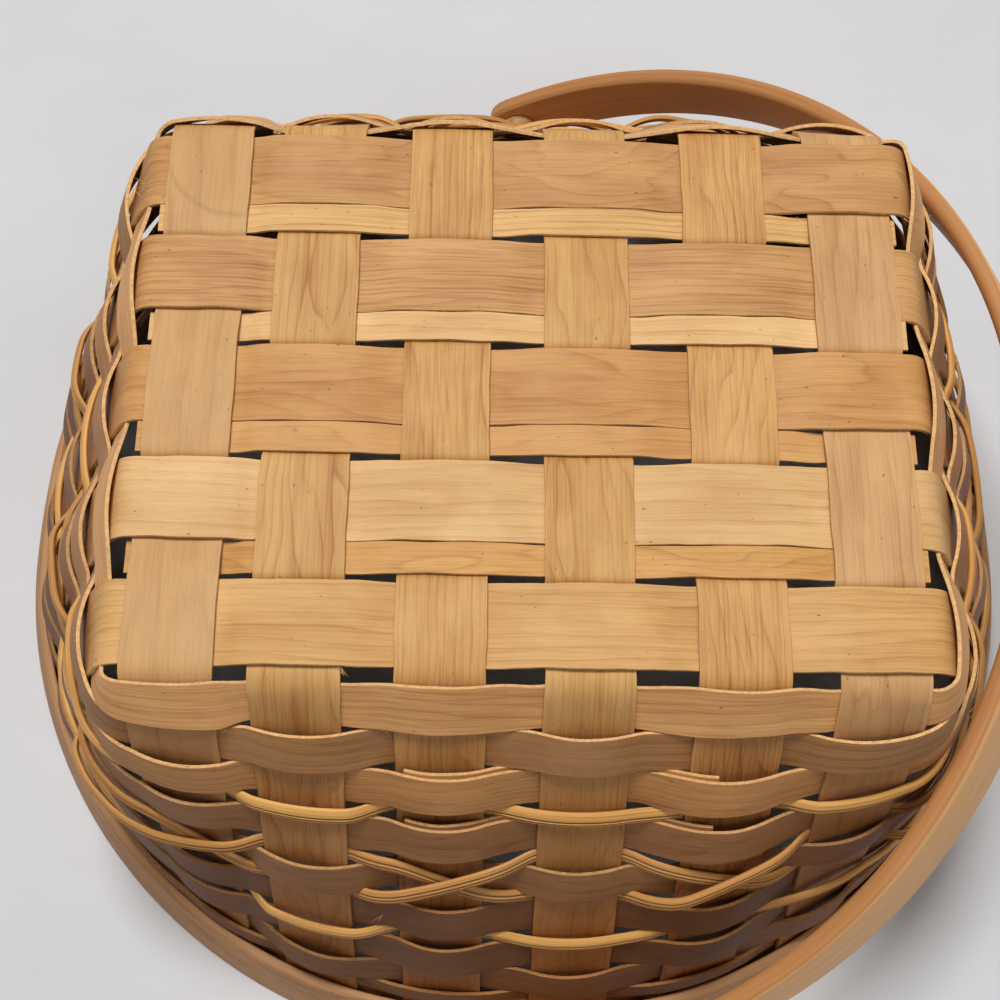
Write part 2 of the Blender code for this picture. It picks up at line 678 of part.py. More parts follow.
def room_at(tilt, edges, angles, reaches):
    """Least room between the weave and the handle's inner face, with the handle folded to this tilt."""
    out = np.array([math.cos(tilt), 0.0, math.sin(tilt)])
    up = np.array([-math.sin(tilt), 0.0, math.cos(tilt)])
    start, run = edges[:, 0], edges[:, 1] - edges[:, 0]
    rise = run @ up
    sloped = np.abs(rise) > SEAT_GAP / 1000
    start, run, rise = start[sloped], run[sloped], rise[sloped]
    to_low = (-HANDLE_WIDTH / 2 - start @ up) / rise
    to_high = (HANDLE_WIDTH / 2 - start @ up) / rise
    first = np.clip(np.minimum(to_low, to_high), 0.0, 1.0)
    last = np.clip(np.maximum(to_low, to_high), 0.0, 1.0)
    beside = last > first
    room = []
    for share in (first, last):
        spots = (start + run * share[:, None])[beside]
        x, y = spots @ out, spots[:, 1]
        spare = np.interp(np.arctan2(y, x), angles, reaches) - np.hypot(x, y)
        room.append(spare[x > 0.0].min())
    return min(room)


def rest_tilt(edges, line):
    """Folds the handle up from the rim plane until only HANDLE_WALL_GAP is left beside the weave."""
    angles, reaches = inner_face(line)
    low, high = 0.0, math.pi / 2
    for step in range(1, FOLD_STEPS):
        tilt = math.pi / 2 * step / FOLD_STEPS
        if room_at(tilt, edges, angles, reaches) < HANDLE_WALL_GAP:
            high = tilt
            break
        low = tilt
    for _ in range(FOLD_HALVINGS):
        middle = (low + high) / 2
        if room_at(middle, edges, angles, reaches) < HANDLE_WALL_GAP:
            high = middle
        else:
            low = middle
    return low


def make_handle(strips, material):
    line, line_widths, end_reach = handle_line(HANDLE_STEPS)
    half = HANDLE_END_WIDTH / 2
    tail = [(-half * (1 - share), half * math.sqrt(1 - (1 - share) ** 2)) for share in END_SHARES]
    xs = [x for x, _ in tail] + [0.0]
    halves = [h for _, h in tail] + [half]
    spots = [np.array([x, -end_reach, 0.0]) for x in xs]
    spots += [np.array([x, y, 0.0]) for x, y in line]
    spots += [np.array([x, end_reach, 0.0]) for x in reversed(xs)]
    widths = [2 * h for h in halves] + line_widths + [2 * h for h in reversed(halves)]
    sides = [np.array([0.0, 0.0, 1.0])] * len(spots)
    handle = lay_bar("swing_handle", spots, sides, widths, HANDLE_THICK, HANDLE_EDGE, material)
    handle.location = (0.0, 0.0, PIVOT_HEIGHT)
    handle.rotation_euler = (0.0, -rest_tilt(weave_edges(strips), line), 0.0)
    for side, word in ((-1, "near"), (1, "far")):
        drill(handle, f"handle_cutter_{word}", side * end_reach, HANDLE_THICK)
    return end_reach


def turned(name, profile, side, material):
    """A round piece about the axle line; profile holds (radius, distance out from the centre)."""
    bm = bmesh.new()
    verts = [bm.verts.new((radius, 0.0, out)) for radius, out in profile]
    edges = [bm.edges.new(pair) for pair in zip(verts, verts[1:])]
    if profile[0][0] > 0:
        edges.append(bm.edges.new((verts[-1], verts[0])))
    bmesh.ops.spin(
        bm, geom=verts + edges, cent=(0.0, 0.0, 0.0), axis=(0.0, 0.0, 1.0),
        angle=2 * math.pi, steps=ROUND_SEGMENTS, use_merge=True, use_duplicate=False,
    )
    bmesh.ops.remove_doubles(bm, verts=bm.verts, dist=SEAT_GAP / 10)
    bmesh.ops.recalc_face_normals(bm, faces=bm.faces)
    mesh = bpy.data.meshes.new(name)
    bm.to_mesh(mesh)
    bm.free()
    mesh.shade_smooth()
    mesh.set_sharp_from_angle(angle=math.radians(40.0))
    piece = bpy.data.objects.new(name, mesh)
    bpy.context.scene.collection.objects.link(piece)
    mesh.materials.append(material)
    piece.location = (0.0, 0.0, PIVOT_HEIGHT)
    piece.rotation_euler = (-side * math.pi / 2, 0.0, 0.0)
    return piece


def make_rivets(end_reach, material):
    """Rivets from the outside of the handle to a burr inside the rim."""
    inner, _ = hoop_offsets()
    high = PIVOT_HEIGHT + BURR_RADIUS
    burr_seat = outline_at(1 - high / FLOOR)[1] + inner[0] - SEAT_GAP
    head_seat = end_reach + HANDLE_THICK / 2 + SEAT_GAP
    rivet = [
        (0.0, burr_seat - BURR_HEIGHT),
        (BURR_RADIUS * 0.8, burr_seat - BURR_HEIGHT),
        (BURR_RADIUS, burr_seat - BURR_HEIGHT * 0.6),
        (BURR_RADIUS, burr_seat),
        (RIVET_RADIUS, burr_seat),
        (RIVET_RADIUS, head_seat),
        (HEAD_RADIUS, head_seat),
        (HEAD_RADIUS * 0.92, head_seat + HEAD_HEIGHT * 0.45),
        (HEAD_RADIUS * 0.60, head_seat + HEAD_HEIGHT * 0.86),
        (0.0, head_seat + HEAD_HEIGHT),
    ]
    for side, word in ((-1, "near"), (1, "far")):
        turned(f"handle_rivet_{word}", rivet, side, material)


def make_bosses(end_reach, material):
    """Round spacers between rim and handle, their inner face cut to the rim's lean."""
    _, outer = hoop_offsets()
    seat = end_reach - HANDLE_THICK / 2 - SEAT_GAP
    hole = RIVET_RADIUS + RIVET_CLEAR
    corners = ((hole, False), (BOSS_RADIUS, False), (BOSS_RADIUS, True), (hole, True))
    for side, word in ((-1, "near"), (1, "far")):
        bm = bmesh.new()
        rings = []
        for radius, is_outer in corners:
            ring = []
            for i in range(ROUND_SEGMENTS):
                angle = 2 * math.pi * i / ROUND_SEGMENTS
                x = radius * math.cos(angle)
                height = PIVOT_HEIGHT + radius * math.sin(angle)
                y = outline_at(1 - height / FLOOR)[1] + outer[1] + SEAT_GAP
                ring.append(bm.verts.new((x, side * (seat if is_outer else y), height)))
            rings.append(ring)
        for a, b in zip(rings, rings[1:] + rings[:1]):
            for i in range(ROUND_SEGMENTS):
                j = (i + 1) % ROUND_SEGMENTS
                bm.faces.new((a[i], a[j], b[j], b[i]))
        bmesh.ops.recalc_face_normals(bm, faces=bm.faces)
        mesh = bpy.data.meshes.new(f"handle_boss_{word}")
        bm.to_mesh(mesh)
        bm.free()
        mesh.shade_smooth()
        mesh.set_sharp_from_angle(angle=math.radians(40.0))
        boss = bpy.data.objects.new(f"handle_boss_{word}", mesh)
        bpy.context.scene.collection.objects.link(boss)
        mesh.materials.append(material)


def main():
    clear_scene()
    materials = {
        "cross": finish_of("pale stake splint", (0.62, 0.38, 0.19), 0.55),
        "long": finish_of("warm stake splint", (0.60, 0.35, 0.17), 0.55),
        "filler": finish_of("straw filler splint", (0.72, 0.47, 0.22), 0.60),
        "weaver": finish_of("weaver splint", (0.52, 0.32, 0.17), 0.60),
        "reed": finish_of("golden reed", (0.60, 0.37, 0.13), 0.55),
        "rim": finish_of("reddish rim hoop", (0.36, 0.17, 0.08), 0.50),
        "handle": finish_of("bent handle wood", (0.53, 0.28, 0.11), 0.45),
        "rivet": finish_of("steel rivet", (0.62, 0.60, 0.57), 0.35, 1.0),
    }
    stakes = make_stakes()
    rows, reed_levels = plan_rows(stakes)
    row_shares = sorted([row["level"] for row in rows.values()] + list(reed_levels))
    make_floor(stakes, materials, row_shares)
    strips = make_rows(rows, stakes, materials)
    strips += make_cross_reeds(reed_levels, rows, stakes, materials["reed"])
    inner_faces, outer_faces = hoop_offsets()
    make_hoop("inner_rim_hoop", inner_faces, materials["rim"])
    make_hoop("outer_rim_hoop", outer_faces, materials["rim"])
    end_reach = make_handle(strips, materials["handle"])
    make_rivets(end_reach, materials["rivet"])
    make_bosses(end_reach, materials["handle"])


main()
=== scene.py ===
# %% [markdown]
# # A woven splint pie basket, turned over
# The real basket is made of thin wooden splints. Eleven of them cross in the floor and run down the
# walls as stakes, and rows of narrower weavers go round the walls, in and out of the stakes. Two bent
# hoops hold the stakes' ends, and one bent handle swings on two rivets. Here it stands on its rim.
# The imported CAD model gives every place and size. This script lays finer pieces over it.

import math
import random

import bmesh
import bpy
import numpy as np
from mathutils import Matrix, Vector


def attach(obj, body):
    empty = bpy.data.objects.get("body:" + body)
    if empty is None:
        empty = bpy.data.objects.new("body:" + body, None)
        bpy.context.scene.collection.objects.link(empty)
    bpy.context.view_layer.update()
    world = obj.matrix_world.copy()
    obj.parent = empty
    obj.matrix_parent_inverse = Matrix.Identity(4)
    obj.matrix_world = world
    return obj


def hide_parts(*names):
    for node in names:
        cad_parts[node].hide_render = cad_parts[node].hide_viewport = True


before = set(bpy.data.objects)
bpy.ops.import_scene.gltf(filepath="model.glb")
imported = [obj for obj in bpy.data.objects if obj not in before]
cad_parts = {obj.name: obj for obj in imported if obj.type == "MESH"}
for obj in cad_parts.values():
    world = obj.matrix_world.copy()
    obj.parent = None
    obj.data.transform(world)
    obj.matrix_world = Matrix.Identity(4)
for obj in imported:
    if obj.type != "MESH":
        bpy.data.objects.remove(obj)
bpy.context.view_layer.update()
print("nodes in the frame:", len(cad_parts))

# %% [markdown]
# ## Sizes
# The splints follow the same wall as the solids, so the sizes that set the wall are written here
# again, in metres. They could be measured on the solids, but the formulas give smooth lines between.

# %% Sizes of the basket
FLOOR = 0.1420  # rim edge to the middle of the floor weave
HALF_LENGTH = 0.1170
HALF_DEPTH = 0.08875
RIM_REACH = 0.1760
RIM_FLAT = 0.0044
FOLD_CORNER = 0.0060
FOLD_REACH = 0.0050
FLARE_CURVE_SHARE = 0.20
ROUNDING_POWER_SHARE = 1.4
TWIST_POWER_SHARE = 0.85
STAKE_THICK = 0.0013
STAKE_END_INSET = 0.0010
LONG_STAKE_WIDTH = 0.0245
CROSS_STAKE_WIDTH = 0.0254
LONG_STAKE_PITCH = 0.0364
CROSS_STAKE_PITCH = 0.0400
CROSS_PLACE_SHARES = (-2.47, -1.60, -0.60, 0.435, 1.495, 2.47)
LONG_PLACE_SHARES = (2.0, 1.0, 0.0, -1.0, -2.0)
FILLER_THICK = 0.0011
FILLER_WIDTH = 0.0094
FILLER_END = 0.0019
WEAVER_THICK = 0.0012
WEAVE_CLEAR = 0.00006  # between a weaver and the stake that it hugs
REED_THICK = 0.0026
CROSS_REED_WIDTH = 0.0058
SEAT_GAP = 0.0003
HOOP_HEIGHT = 0.0190
OUTER_HOOP_THICK = 0.0032
INNER_HOOP_THICK = 0.0030
HANDLE_WIDTH = 0.0290  # at the crown
HANDLE_END_WIDTH = 0.0236  # at the rivets
HANDLE_THICK = 0.0060
HANDLE_CLEAR = 0.0036
HANDLE_ROUND = 0.0022
PIVOT_HEIGHT = 0.0130
HOOP_SHARE = 1 - HOOP_HEIGHT / FLOOR
STAKE_SAG = CROSS_STAKE_WIDTH**2 / (8 * RIM_REACH)
FLOOR_LIFT = (STAKE_THICK + SEAT_GAP) / 2
LONG_Y = [share * LONG_STAKE_PITCH for share in LONG_PLACE_SHARES]
CROSS_X = [share * CROSS_STAKE_PITCH for share in CROSS_PLACE_SHARES]
X_DIR, Y_DIR, Z_DIR = np.eye(3)
print("floor stakes at x in mm:", [round(x * 1000, 1) for x in CROSS_X])

# %% [markdown]
# ## The wall
# The wall starts as a rounded rectangle at the fold and ends as a circle at the rim. Two numbers say
# where a point is: the share of the height from the fold to the rim, and the stake that it lies on.


# %% The wall's outline and a stake's line on it
def unit(vector):
    return vector / np.linalg.norm(vector)


def units(rows):
    return rows / np.linalg.norm(rows, axis=1)[:, None]


def run_along(points):
    """How far each point lies along the line through all of them."""
    return np.concatenate([[0.0], np.cumsum(np.linalg.norm(np.diff(points, axis=0), axis=1))])


def outline_at(share):
    """Half length, half depth and corner centre of the outline, share 0 at the fold, 1 at the rim."""
    flare = share * (1 + FLARE_CURVE_SHARE * (1 - share))
    turn = 1 - (1 - share) ** ROUNDING_POWER_SHARE
    half_x = HALF_LENGTH + (RIM_REACH - HALF_LENGTH) * flare
    half_y = HALF_DEPTH + (RIM_REACH - HALF_DEPTH) * flare
    corner_x = (HALF_LENGTH - FOLD_CORNER) * (1 - turn) + RIM_FLAT * turn
    corner_y = (HALF_DEPTH - FOLD_CORNER) * (1 - turn) + RIM_FLAT * turn
    return half_x, half_y, corner_x, corner_y


def reach_beside(place, share, along_x):
    """How far out the wall stands beside a stake, and the outline's slope there."""
    half_x, half_y, corner_x, corner_y = outline_at(share)
    if not along_x:
        half_x, half_y, corner_x, corner_y = half_y, half_x, corner_y, corner_x
    past = abs(place) - corner_x
    if past <= 0:
        return half_y, 0.0
    across, out = half_x - corner_x, half_y - corner_y
    root = math.sqrt(1 - (past / across) ** 2)
    return corner_y + out * root, -math.copysign(out * past / (across**2 * root), place)


def wall_point(stake, share):
    """A stake's middle line on the wall, and its width direction there, going round by the right."""
    place, side, along_x = stake["place"], stake["side"], stake["along_x"]
    reach, slope = reach_beside(place, share, along_x)
    if share < HOOP_SHARE:
        full = math.atan(reach_beside(place, HOOP_SHARE, along_x)[1])
        slope = math.tan(full * (max(share, 0.0) / HOOP_SHARE) ** TWIST_POWER_SHARE)
    height = FLOOR * (1 - share)
    if along_x:
        return np.array([place, side * reach, height]), unit(np.array([1.0, side * slope, 0.0]) * -side)
    return np.array([side * reach, place, height]), unit(np.array([side * slope, 1.0, 0.0]) * side)


def make_stakes():
    """The 22 places where a stake climbs the wall, in order: front, right, back, left."""
    walls = ((CROSS_X, -1, True), (LONG_Y[::-1], 1, False), (CROSS_X[::-1], 1, True), (LONG_Y, -1, False))
    widths = {True: CROSS_STAKE_WIDTH, False: LONG_STAKE_WIDTH}
    stakes = [
        dict(place=place, side=side, along_x=along_x, width=widths[along_x])
        for places, side, along_x in walls for place in places
    ]
    shares = np.linspace(0.0, HOOP_SHARE, 201)
    for stake in stakes:
        spots = np.array([wall_point(stake, share)[0] for share in shares])
        stake["run"] = run_along(spots)
        stake["shares"] = shares
        stake["length"] = stake["run"][-1]
    longest = max(stake["length"] for stake in stakes)
    for stake in stakes:
        stake["size"] = stake["length"] / longest
    return stakes


def wall_frame(stake, level):
    """Place, direction round the wall, direction down the stake and outward direction at a level."""
    share = float(np.interp(level * stake["length"], stake["run"], stake["shares"]))
    spot, tangent = wall_point(stake, share)
    down = unit(wall_point(stake, min(share + 1e-3, 1.0))[0] - wall_point(stake, max(share - 1e-3, 0.0))[0])
    return spot, tangent, down, unit(np.cross(tangent, -down))


STAKES = make_stakes()
COUNT = len(STAKES)
print("stakes on the wall:", COUNT, "longest in mm:", round(max(s["length"] for s in STAKES) * 1000, 1))

# %% [markdown]
# ## Rows
# The rows fill the longest stake from the fold to the hoops. Each has its real width, a small gap to
# the next, and the spare length is shared out. Levels are shares of a stake's own length.

# %% Plan the rows
WIDE_ROWS = (0.0168, 0.0139, 0.0135, 0.0135, 0.0128, 0.0138, 0.0138, 0.0122, 0.0058)
NARROW_ROWS = (0.0053, 0.0043)
ROW_GAP = 0.0006
TOP_MARGIN, RIM_MARGIN = 0.0003, 0.0022
CROSS_ROOM = 0.0038 + 0.0007


def plan_rows():
    order = []
    for number, width in enumerate(WIDE_ROWS, start=1):
        order.append((f"weaver_row_{number}", width))
        if number == 3:
            order.append(("reed_row_1", NARROW_ROWS[0]))
        if number in (4, 5):
            order.append((None, CROSS_ROOM))
        if number == 6:
            order.append(("reed_row_2", NARROW_ROWS[1]))
    longest = max(stake["length"] for stake in STAKES)
    used = TOP_MARGIN + RIM_MARGIN + sum(width + ROW_GAP for _, width in order)
    spare = (longest - used) / len(order)
    rows, crossings, at = {}, [], TOP_MARGIN
    for name, width in order:
        middle = (at + width / 2) / longest
        if name:
            rows[name] = dict(level=middle, width=width)
        else:
            crossings.append(middle)
        at += width + ROW_GAP + spare
    return rows, crossings


ROWS, CROSSINGS = plan_rows()
print("rows:", {name: round(row["level"], 3) for name, row in ROWS.items()})

# %% [markdown]
# ## Wood
# Thin splint shows growth rings as long straying lines, thinner dark lines between them, and soft
# clouds of lighter and darker wood. All of them follow the splint, so the patterns read a UV map in
# metres, with U along the splint and V across it. The rings are the sawtooth of V, moved about by a
# slow noise, which gives straight lines, flames or arches as the noise gets stronger. Every splint
# is cut from other wood, so each gets its own seed, ring gap and colours from one function.


# %% Colours and node helpers
def srgb(red, green, blue):
    """A colour as a paint chart gives it, 0 to 255, in the numbers that shaders use."""
    def line(value):
        value /= 255
        return value / 12.92 if value <= 0.04045 else ((value + 0.055) / 1.055) ** 2.4
    return line(red), line(green), line(blue), 1.0


def dimmed(colour, share):
    return tuple(share * v for v in colour[:3]) + (1.0,)


WHITE = (1.0, 1.0, 1.0, 1.0)
RIM_SHADES = {  # painted shade: what wood at the rim is multiplied by, then shares of the height and how much of the wood's own colour shows there
    "row": ((0.46, 0.34, 0.24, 1.0), ((0.10, 0.0), (0.50, 0.18), (0.72, 0.62), (0.92, 1.0))),
    "stake": ((0.48, 0.27, 0.12, 1.0), ((0.10, 0.0), (0.55, 0.28), (0.90, 0.55), (0.985, 1.0))),
}


class Nodes:
    """Short words for building one material's node tree; shift moves its patterns along and across."""

    def __init__(self, name, shift=(0.0, 0.0)):
        self.material = bpy.data.materials.new(name)
        self.material.use_nodes = True
        self.tree = self.material.node_tree
        self.shader = self.tree.nodes["Principled BSDF"]
        self.shift = (*shift, 0.0)

    def new(self, kind, **values):
        node = self.tree.nodes.new(kind)
        for key, value in values.items():
            setattr(node, key, value)
        return node

    def feed(self, value, socket):
        """Sets a socket to a number or a colour, or links another node's output to it."""
        if isinstance(value, (int, float, tuple)):
            socket.default_value = value
        else:
            self.tree.links.new(value, socket)

    def grain(self):
        return self.new("ShaderNodeUVMap", uv_map="grain").outputs["UV"]

    def place(self):
        return self.new("ShaderNodeTexCoord").outputs["Object"]

    def edge(self):
        return self.new("ShaderNodeAttribute", attribute_name="edge").outputs["Fac"]

    def axis(self, source, name):
        node = self.new("ShaderNodeSeparateXYZ")
        self.feed(source, node.inputs[0])
        return node.outputs[name]

    def math(self, operation, a, b=0.0, clamp=False):
        node = self.new("ShaderNodeMath", operation=operation, use_clamp=clamp)
        self.feed(a, node.inputs[0])
        self.feed(b, node.inputs[1])
        return node.outputs[0]

    def mix(self, share, a, b, blend="MIX"):
        node = self.new("ShaderNodeMix", data_type="RGBA", blend_type=blend)
        for value, number in ((share, 0), (a, 6), (b, 7)):
            self.feed(value, node.inputs[number])
        return node.outputs[2]

    def scaled(self, source, scale, shift=(0.0, 0.0, 0.0)):
        node = self.new("ShaderNodeMapping")
        for value, name in ((shift, "Location"), (scale, "Scale"), (source, "Vector")):
            self.feed(value, node.inputs[name])
        return node.outputs[0]

    def noise(self, vector, scale=1.0, detail=2.0, rough=0.5):
        node = self.new("ShaderNodeTexNoise")
        for value, name in ((scale, "Scale"), (detail, "Detail"), (rough, "Roughness"), (vector, "Vector")):
            self.feed(value, node.inputs[name])
        return node.outputs["Fac"]

    def along(self, cells, detail=2.0, rough=0.5):
        """Noise that follows the splint, with so many cells a metre along it and across it."""
        return self.noise(self.scaled(self.grain(), (*cells, 1.0), self.shift), detail=detail, rough=rough)

    def ramp(self, value, *stops):
        node = self.new("ShaderNodeValToRGB")
        points = node.color_ramp.elements
        while len(points) < len(stops):
            points.new(0.5)
        for point, (place, level) in zip(points, stops):
            point.position = place
            point.color = (level, level, level, 1.0)
        self.feed(value, node.inputs["Fac"])
        return node.outputs["Color"]

    def rim_shade(self, colour, kind):
        """Painted shade: wood darker and browner the nearer it lies to the rim, where the walls get less
        light.
        """
        old, stops = RIM_SHADES[kind]
        height = self.math("DIVIDE", self.axis(self.place(), "Z"), FLOOR)
        return self.mix(1.0, colour, self.mix(self.ramp(height, *stops), old, WHITE), "MULTIPLY")

    def bump(self, height, strength, distance):
        node = self.new("ShaderNodeBump")
        for value, name in ((strength, "Strength"), (distance, "Distance"), (height, "Height")):
            self.feed(value, node.inputs[name])
        self.feed(node.outputs["Normal"], self.shader.inputs["Normal"])

    def surface(self, colour, rough, specular=0.5):
        """Gives the shader its colour, roughness and shine, and hands over the finished material."""
        for value, name in ((colour, "Base Color"), (rough, "Roughness"), (specular, "Specular IOR Level")):
            self.feed(value, self.shader.inputs[name])
        return self.material


# %% Splint wood
# noise cells a metre, along a splint and across it
STRAY, PATCH, CLOUD, SHEEN = (11.0, 46.0), (9.0, 110.0), (20.0, 60.0), (26.0, 38.0)
FIBRE, THREAD, TICK, FLECK = (24.0, 1250.0), (80.0, 4200.0), (190.0, 2600.0), (520.0, 900.0)
RING_STOPS = ((0.0, 0.0), (0.50, 0.08), (0.82, 0.45), (0.91, 1.0), (0.97, 0.4), (1.0, 0.0))


def mark_wood(n, colour, deep, marks):
    """Draws the arcs and knots of a floor splint, each (x, y, radius, width); a knot has no radius."""
    flat = n.scaled(n.place(), (1.0, 1.0, 0.0))
    ragged = n.math("MULTIPLY", n.noise(n.scaled(flat, (160.0, 160.0, 1.0))), 0.0016)
    for x, y, radius, width in marks:
        away = n.new("ShaderNodeVectorMath", operation="DISTANCE")
        n.feed(flat, away.inputs[0])
        n.feed((x, y, 0.0), away.inputs[1])
        off = n.math("ABSOLUTE", n.math("SUBTRACT", n.math("ADD", away.outputs["Value"], ragged), radius))
        share = n.ramp(n.math("DIVIDE", off, width), (0.0, 0.80), (0.5, 0.45), (1.0, 0.0))
        colour = n.mix(n.math("MULTIPLY", share, 0.32 if radius else 1.0), colour, dimmed(deep, 0.60))
    return colour


def splint_wood(name, seed, pale, deep, gap, depth, wander, fine=0.40, clouds=0.40, marks=(), rim_shade="row"):
    """Wood that follows a splint, between its pale and its deep colour.

    gap is the space between rings, depth how dark they are, wander how far they stray and fine how
    dark the thin lines are. The wood can also get painted shade, darker towards the rim, as a row or as a
    stake.
    """
    n = Nodes(name, (seed * 1.37, seed * 0.71))
    pale, deep = srgb(*pale), srgb(*deep)
    stray = n.math("MULTIPLY", n.along(STRAY, rough=0.45), wander * 4)
    place = n.math("ADD", n.math("DIVIDE", n.axis(n.grain(), "Y"), gap), stray)
    ring = n.ramp(n.math("FRACT", place), *RING_STOPS)
    fibre, thread = n.along(FIBRE, detail=3.0, rough=0.6), n.along(THREAD, rough=0.7)
    patch = n.ramp(n.along(PATCH), (0.36, 0.25), (0.58, 1.0))
    cloud = n.ramp(n.along(CLOUD, detail=3.0, rough=0.55), (0.36, 0.0), (0.66, 1.0))
    dark = n.math("MULTIPLY", n.math("MULTIPLY", ring, depth), patch)
    dark = n.math("ADD", dark, n.math("MULTIPLY", n.ramp(fibre, (0.46, 0.0), (0.64, 1.0)), fine))
    dark = n.math("ADD", dark, n.math("MULTIPLY", cloud, clouds), True)
    colour = n.mix(dark, pale, deep)
    # Painted sheen: pale whitish patches where the wood's figure would catch the light.
    sheen_place = n.scaled(n.grain(), (*SHEEN, 1.0), (seed * 2.1, seed * 0.9, 0.0))
    bright = tuple(min(1.0, v * 1.12 + 0.05) for v in pale[:3]) + (1.0,)
    colour = n.mix(n.ramp(n.noise(sheen_place, detail=4.0, rough=0.6), (0.50, 0.0), (0.72, 0.42)), colour, bright)
    fleck = n.ramp(n.along(FLECK, detail=0.0), (0.83, 0.0), (0.87, 0.70))
    colour = n.mix(fleck, colour, dimmed(deep, 0.3))
    if marks:
        colour = mark_wood(n, colour, deep, marks)
    colour = n.mix(1.0, colour, n.ramp(thread, (0.25, 0.87), (0.75, 1.05)), "MULTIPLY")
    colour = n.mix(n.ramp(n.along(TICK, detail=1.0), (0.66, 0.0), (0.74, 0.30)), colour, deep)
    colour = n.mix(n.math("MULTIPLY", n.ramp(n.edge(), (0.93, 0.0), (1.0, 1.0)), 0.30), colour, pale)
    # Painted shade: the wood darkens towards the rim.
    if rim_shade:
        colour = n.rim_shade(colour, rim_shade)
    height = n.math("ADD", n.math("MULTIPLY", fibre, 0.6), n.math("MULTIPLY", thread, 0.4))
    n.bump(n.math("SUBTRACT", height, n.math("MULTIPLY", ring, 0.2)), 0.28, 0.00025)
    return n.surface(colour, n.ramp(fibre, (0.3, 0.66), (0.7, 0.52)), 0.28)


def cut_edge(name, pale, deep, seed):
    """The sawn or split edge of a splint, paler and rougher than its faces."""
    n = Nodes(name)
    rough = n.noise(n.place(), scale=900.0 + seed, detail=4.0, rough=0.7)
    n.bump(rough, 0.5, 0.0002)
    colour = n.mix(n.ramp(rough, (0.38, 0.0), (0.70, 1.0)), srgb(*pale), srgb(*deep))
    # The cut edges get the same painted shade towards the rim as the rows.
    return n.surface(n.rim_shade(colour, "row"), 0.75, 0.2)


# %% [markdown]
# ## Laying a splint
# A splint is a flat strip that follows a line. A plane grid is the simplest start: its columns become
# stations along the splint and its rows lie across it. Solidify then gives it thickness, and a small
# Bevel takes the sharpness off its edges. Extra rows close to the edges keep the faces flat.

# %% Lay a splint between two edge lines
ACROSS = (-1.0, -0.955, -0.62, -0.21, 0.21, 0.62, 0.955, 1.0)
SOFT_EDGE = 0.00022
EDGE_WAVER, WAVER_LENGTH = 0.00022, 0.035
EDGE_LINES = {}


def waver(run, seed):
    """A slow, repeatable wander along a splint."""
    pick = random.Random(seed)
    total = np.zeros_like(run)
    for octave in range(3):
        phase, pitch = pick.uniform(0, 6.28), WAVER_LENGTH / (1.7**octave) * pick.uniform(0.8, 1.25)
        total += np.sin(run / pitch * 2 * math.pi + phase) / 1.6**octave
    return total * EDGE_WAVER / 2.0


def grid_place(vert, last, rows):
    """The station and the row of a vertex of a fresh grid, which reaches from -1 to 1."""
    return int(round((vert.co.x + 1) / 2 * last)), int(round((vert.co.y + 1) / 2 * rows))


def put_in_scene(name, bm, *finishes):
    """Makes a smooth object with its finishes from a bmesh."""
    mesh = bpy.data.meshes.new(name)
    bm.to_mesh(mesh)
    bm.free()
    mesh.shade_smooth()
    for finish in finishes:
        mesh.materials.append(finish)
    piece = bpy.data.objects.new(name, mesh)
    bpy.context.scene.collection.objects.link(piece)
    return piece


def lay_splint(name, tops, bottoms, outs, thick, finishes, closed=False, seed=0):
    """A strip between two edge lines; outs are its face's outward directions."""
    EDGE_LINES[name] = (tops, bottoms, outs)
    if closed:
        tops, bottoms, outs = (np.vstack([line, line[:1]]) for line in (tops, bottoms, outs))
    middles, halves = (tops + bottoms) / 2, (bottoms - tops) / 2
    run = run_along(middles)
    half_width = np.linalg.norm(halves, axis=1)
    fade = np.sin(np.linspace(0, math.pi, len(run))) if closed else np.ones(len(run))
    trim = 1 + waver(run, seed) / half_width.max() * np.minimum(1, fade * 8)
    bm = bmesh.new()
    grain = bm.loops.layers.uv.new("grain")
    edge = bm.verts.layers.float.new("edge")
    last, rows = len(run) - 1, len(ACROSS) - 1
    bmesh.ops.create_grid(bm, x_segments=last, y_segments=rows, size=1.0)
    for face in bm.faces:
        for loop in face.loops:
            station, row = grid_place(loop.vert, last, rows)
            loop[grain].uv = (run[station] + seed * 0.37, ACROSS[row] * half_width[station])
    for vert in bm.verts:
        station, row = grid_place(vert, last, rows)
        vert.co = middles[station] + halves[station] * ACROSS[row] * trim[station]
        vert[edge] = abs(ACROSS[row])
    if closed:
        bmesh.ops.remove_doubles(bm, verts=bm.verts, dist=thick / 100)
    splint = put_in_scene(name, bm, *finishes)
    wall = splint.modifiers.new("thickness", "SOLIDIFY")
    wall.thickness, wall.offset, wall.use_even_offset = thick, 0.0, True
    wall.material_offset_rim = 1
    soften = splint.modifiers.new("soft edges", "BEVEL")
    soften.width, soften.segments, soften.limit_method = SOFT_EDGE, 2, "ANGLE"
    soften.angle_limit = math.radians(55.0)
    soften.harden_normals = True
    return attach(splint, "basket")


# %% [markdown]
# ## Stakes
# Each stake is one splint from rim to rim: up a wall, over the floor, down the other wall. In the
# floor it passes over and under the stakes that cross it. The line is laid point by point and then
# relaxed a little, as a stiff splint bends in long curves and never in corners.


# %% The line of one stake
def relax(points, passes):
    """Neighbouring points pull a line smooth; its ends stay."""
    points = points.copy()
    for _ in range(passes):
        points[1:-1] = (points[:-2] + 2 * points[1:-1] + points[2:]) / 4
    return points


def floor_run(crossings, crown):
    """Dense (place, lift) pairs through the crossings, each (from, to, lift), raised in the middle."""
    line = []
    for i, (start, end, lift) in enumerate(crossings):
        if i:
            before = crossings[i - 1]
            for step in range(1, 7):
                t = step / 7
                rise = t * t * (3 - 2 * t)
                line.append((before[1] + (start - before[1]) * t, before[2] + (lift - before[2]) * rise))
        for step in range(11):
            t = step / 10
            line.append((start + (end - start) * t, lift + math.copysign(crown, lift) * 4 * t * (1 - t)))
    return line


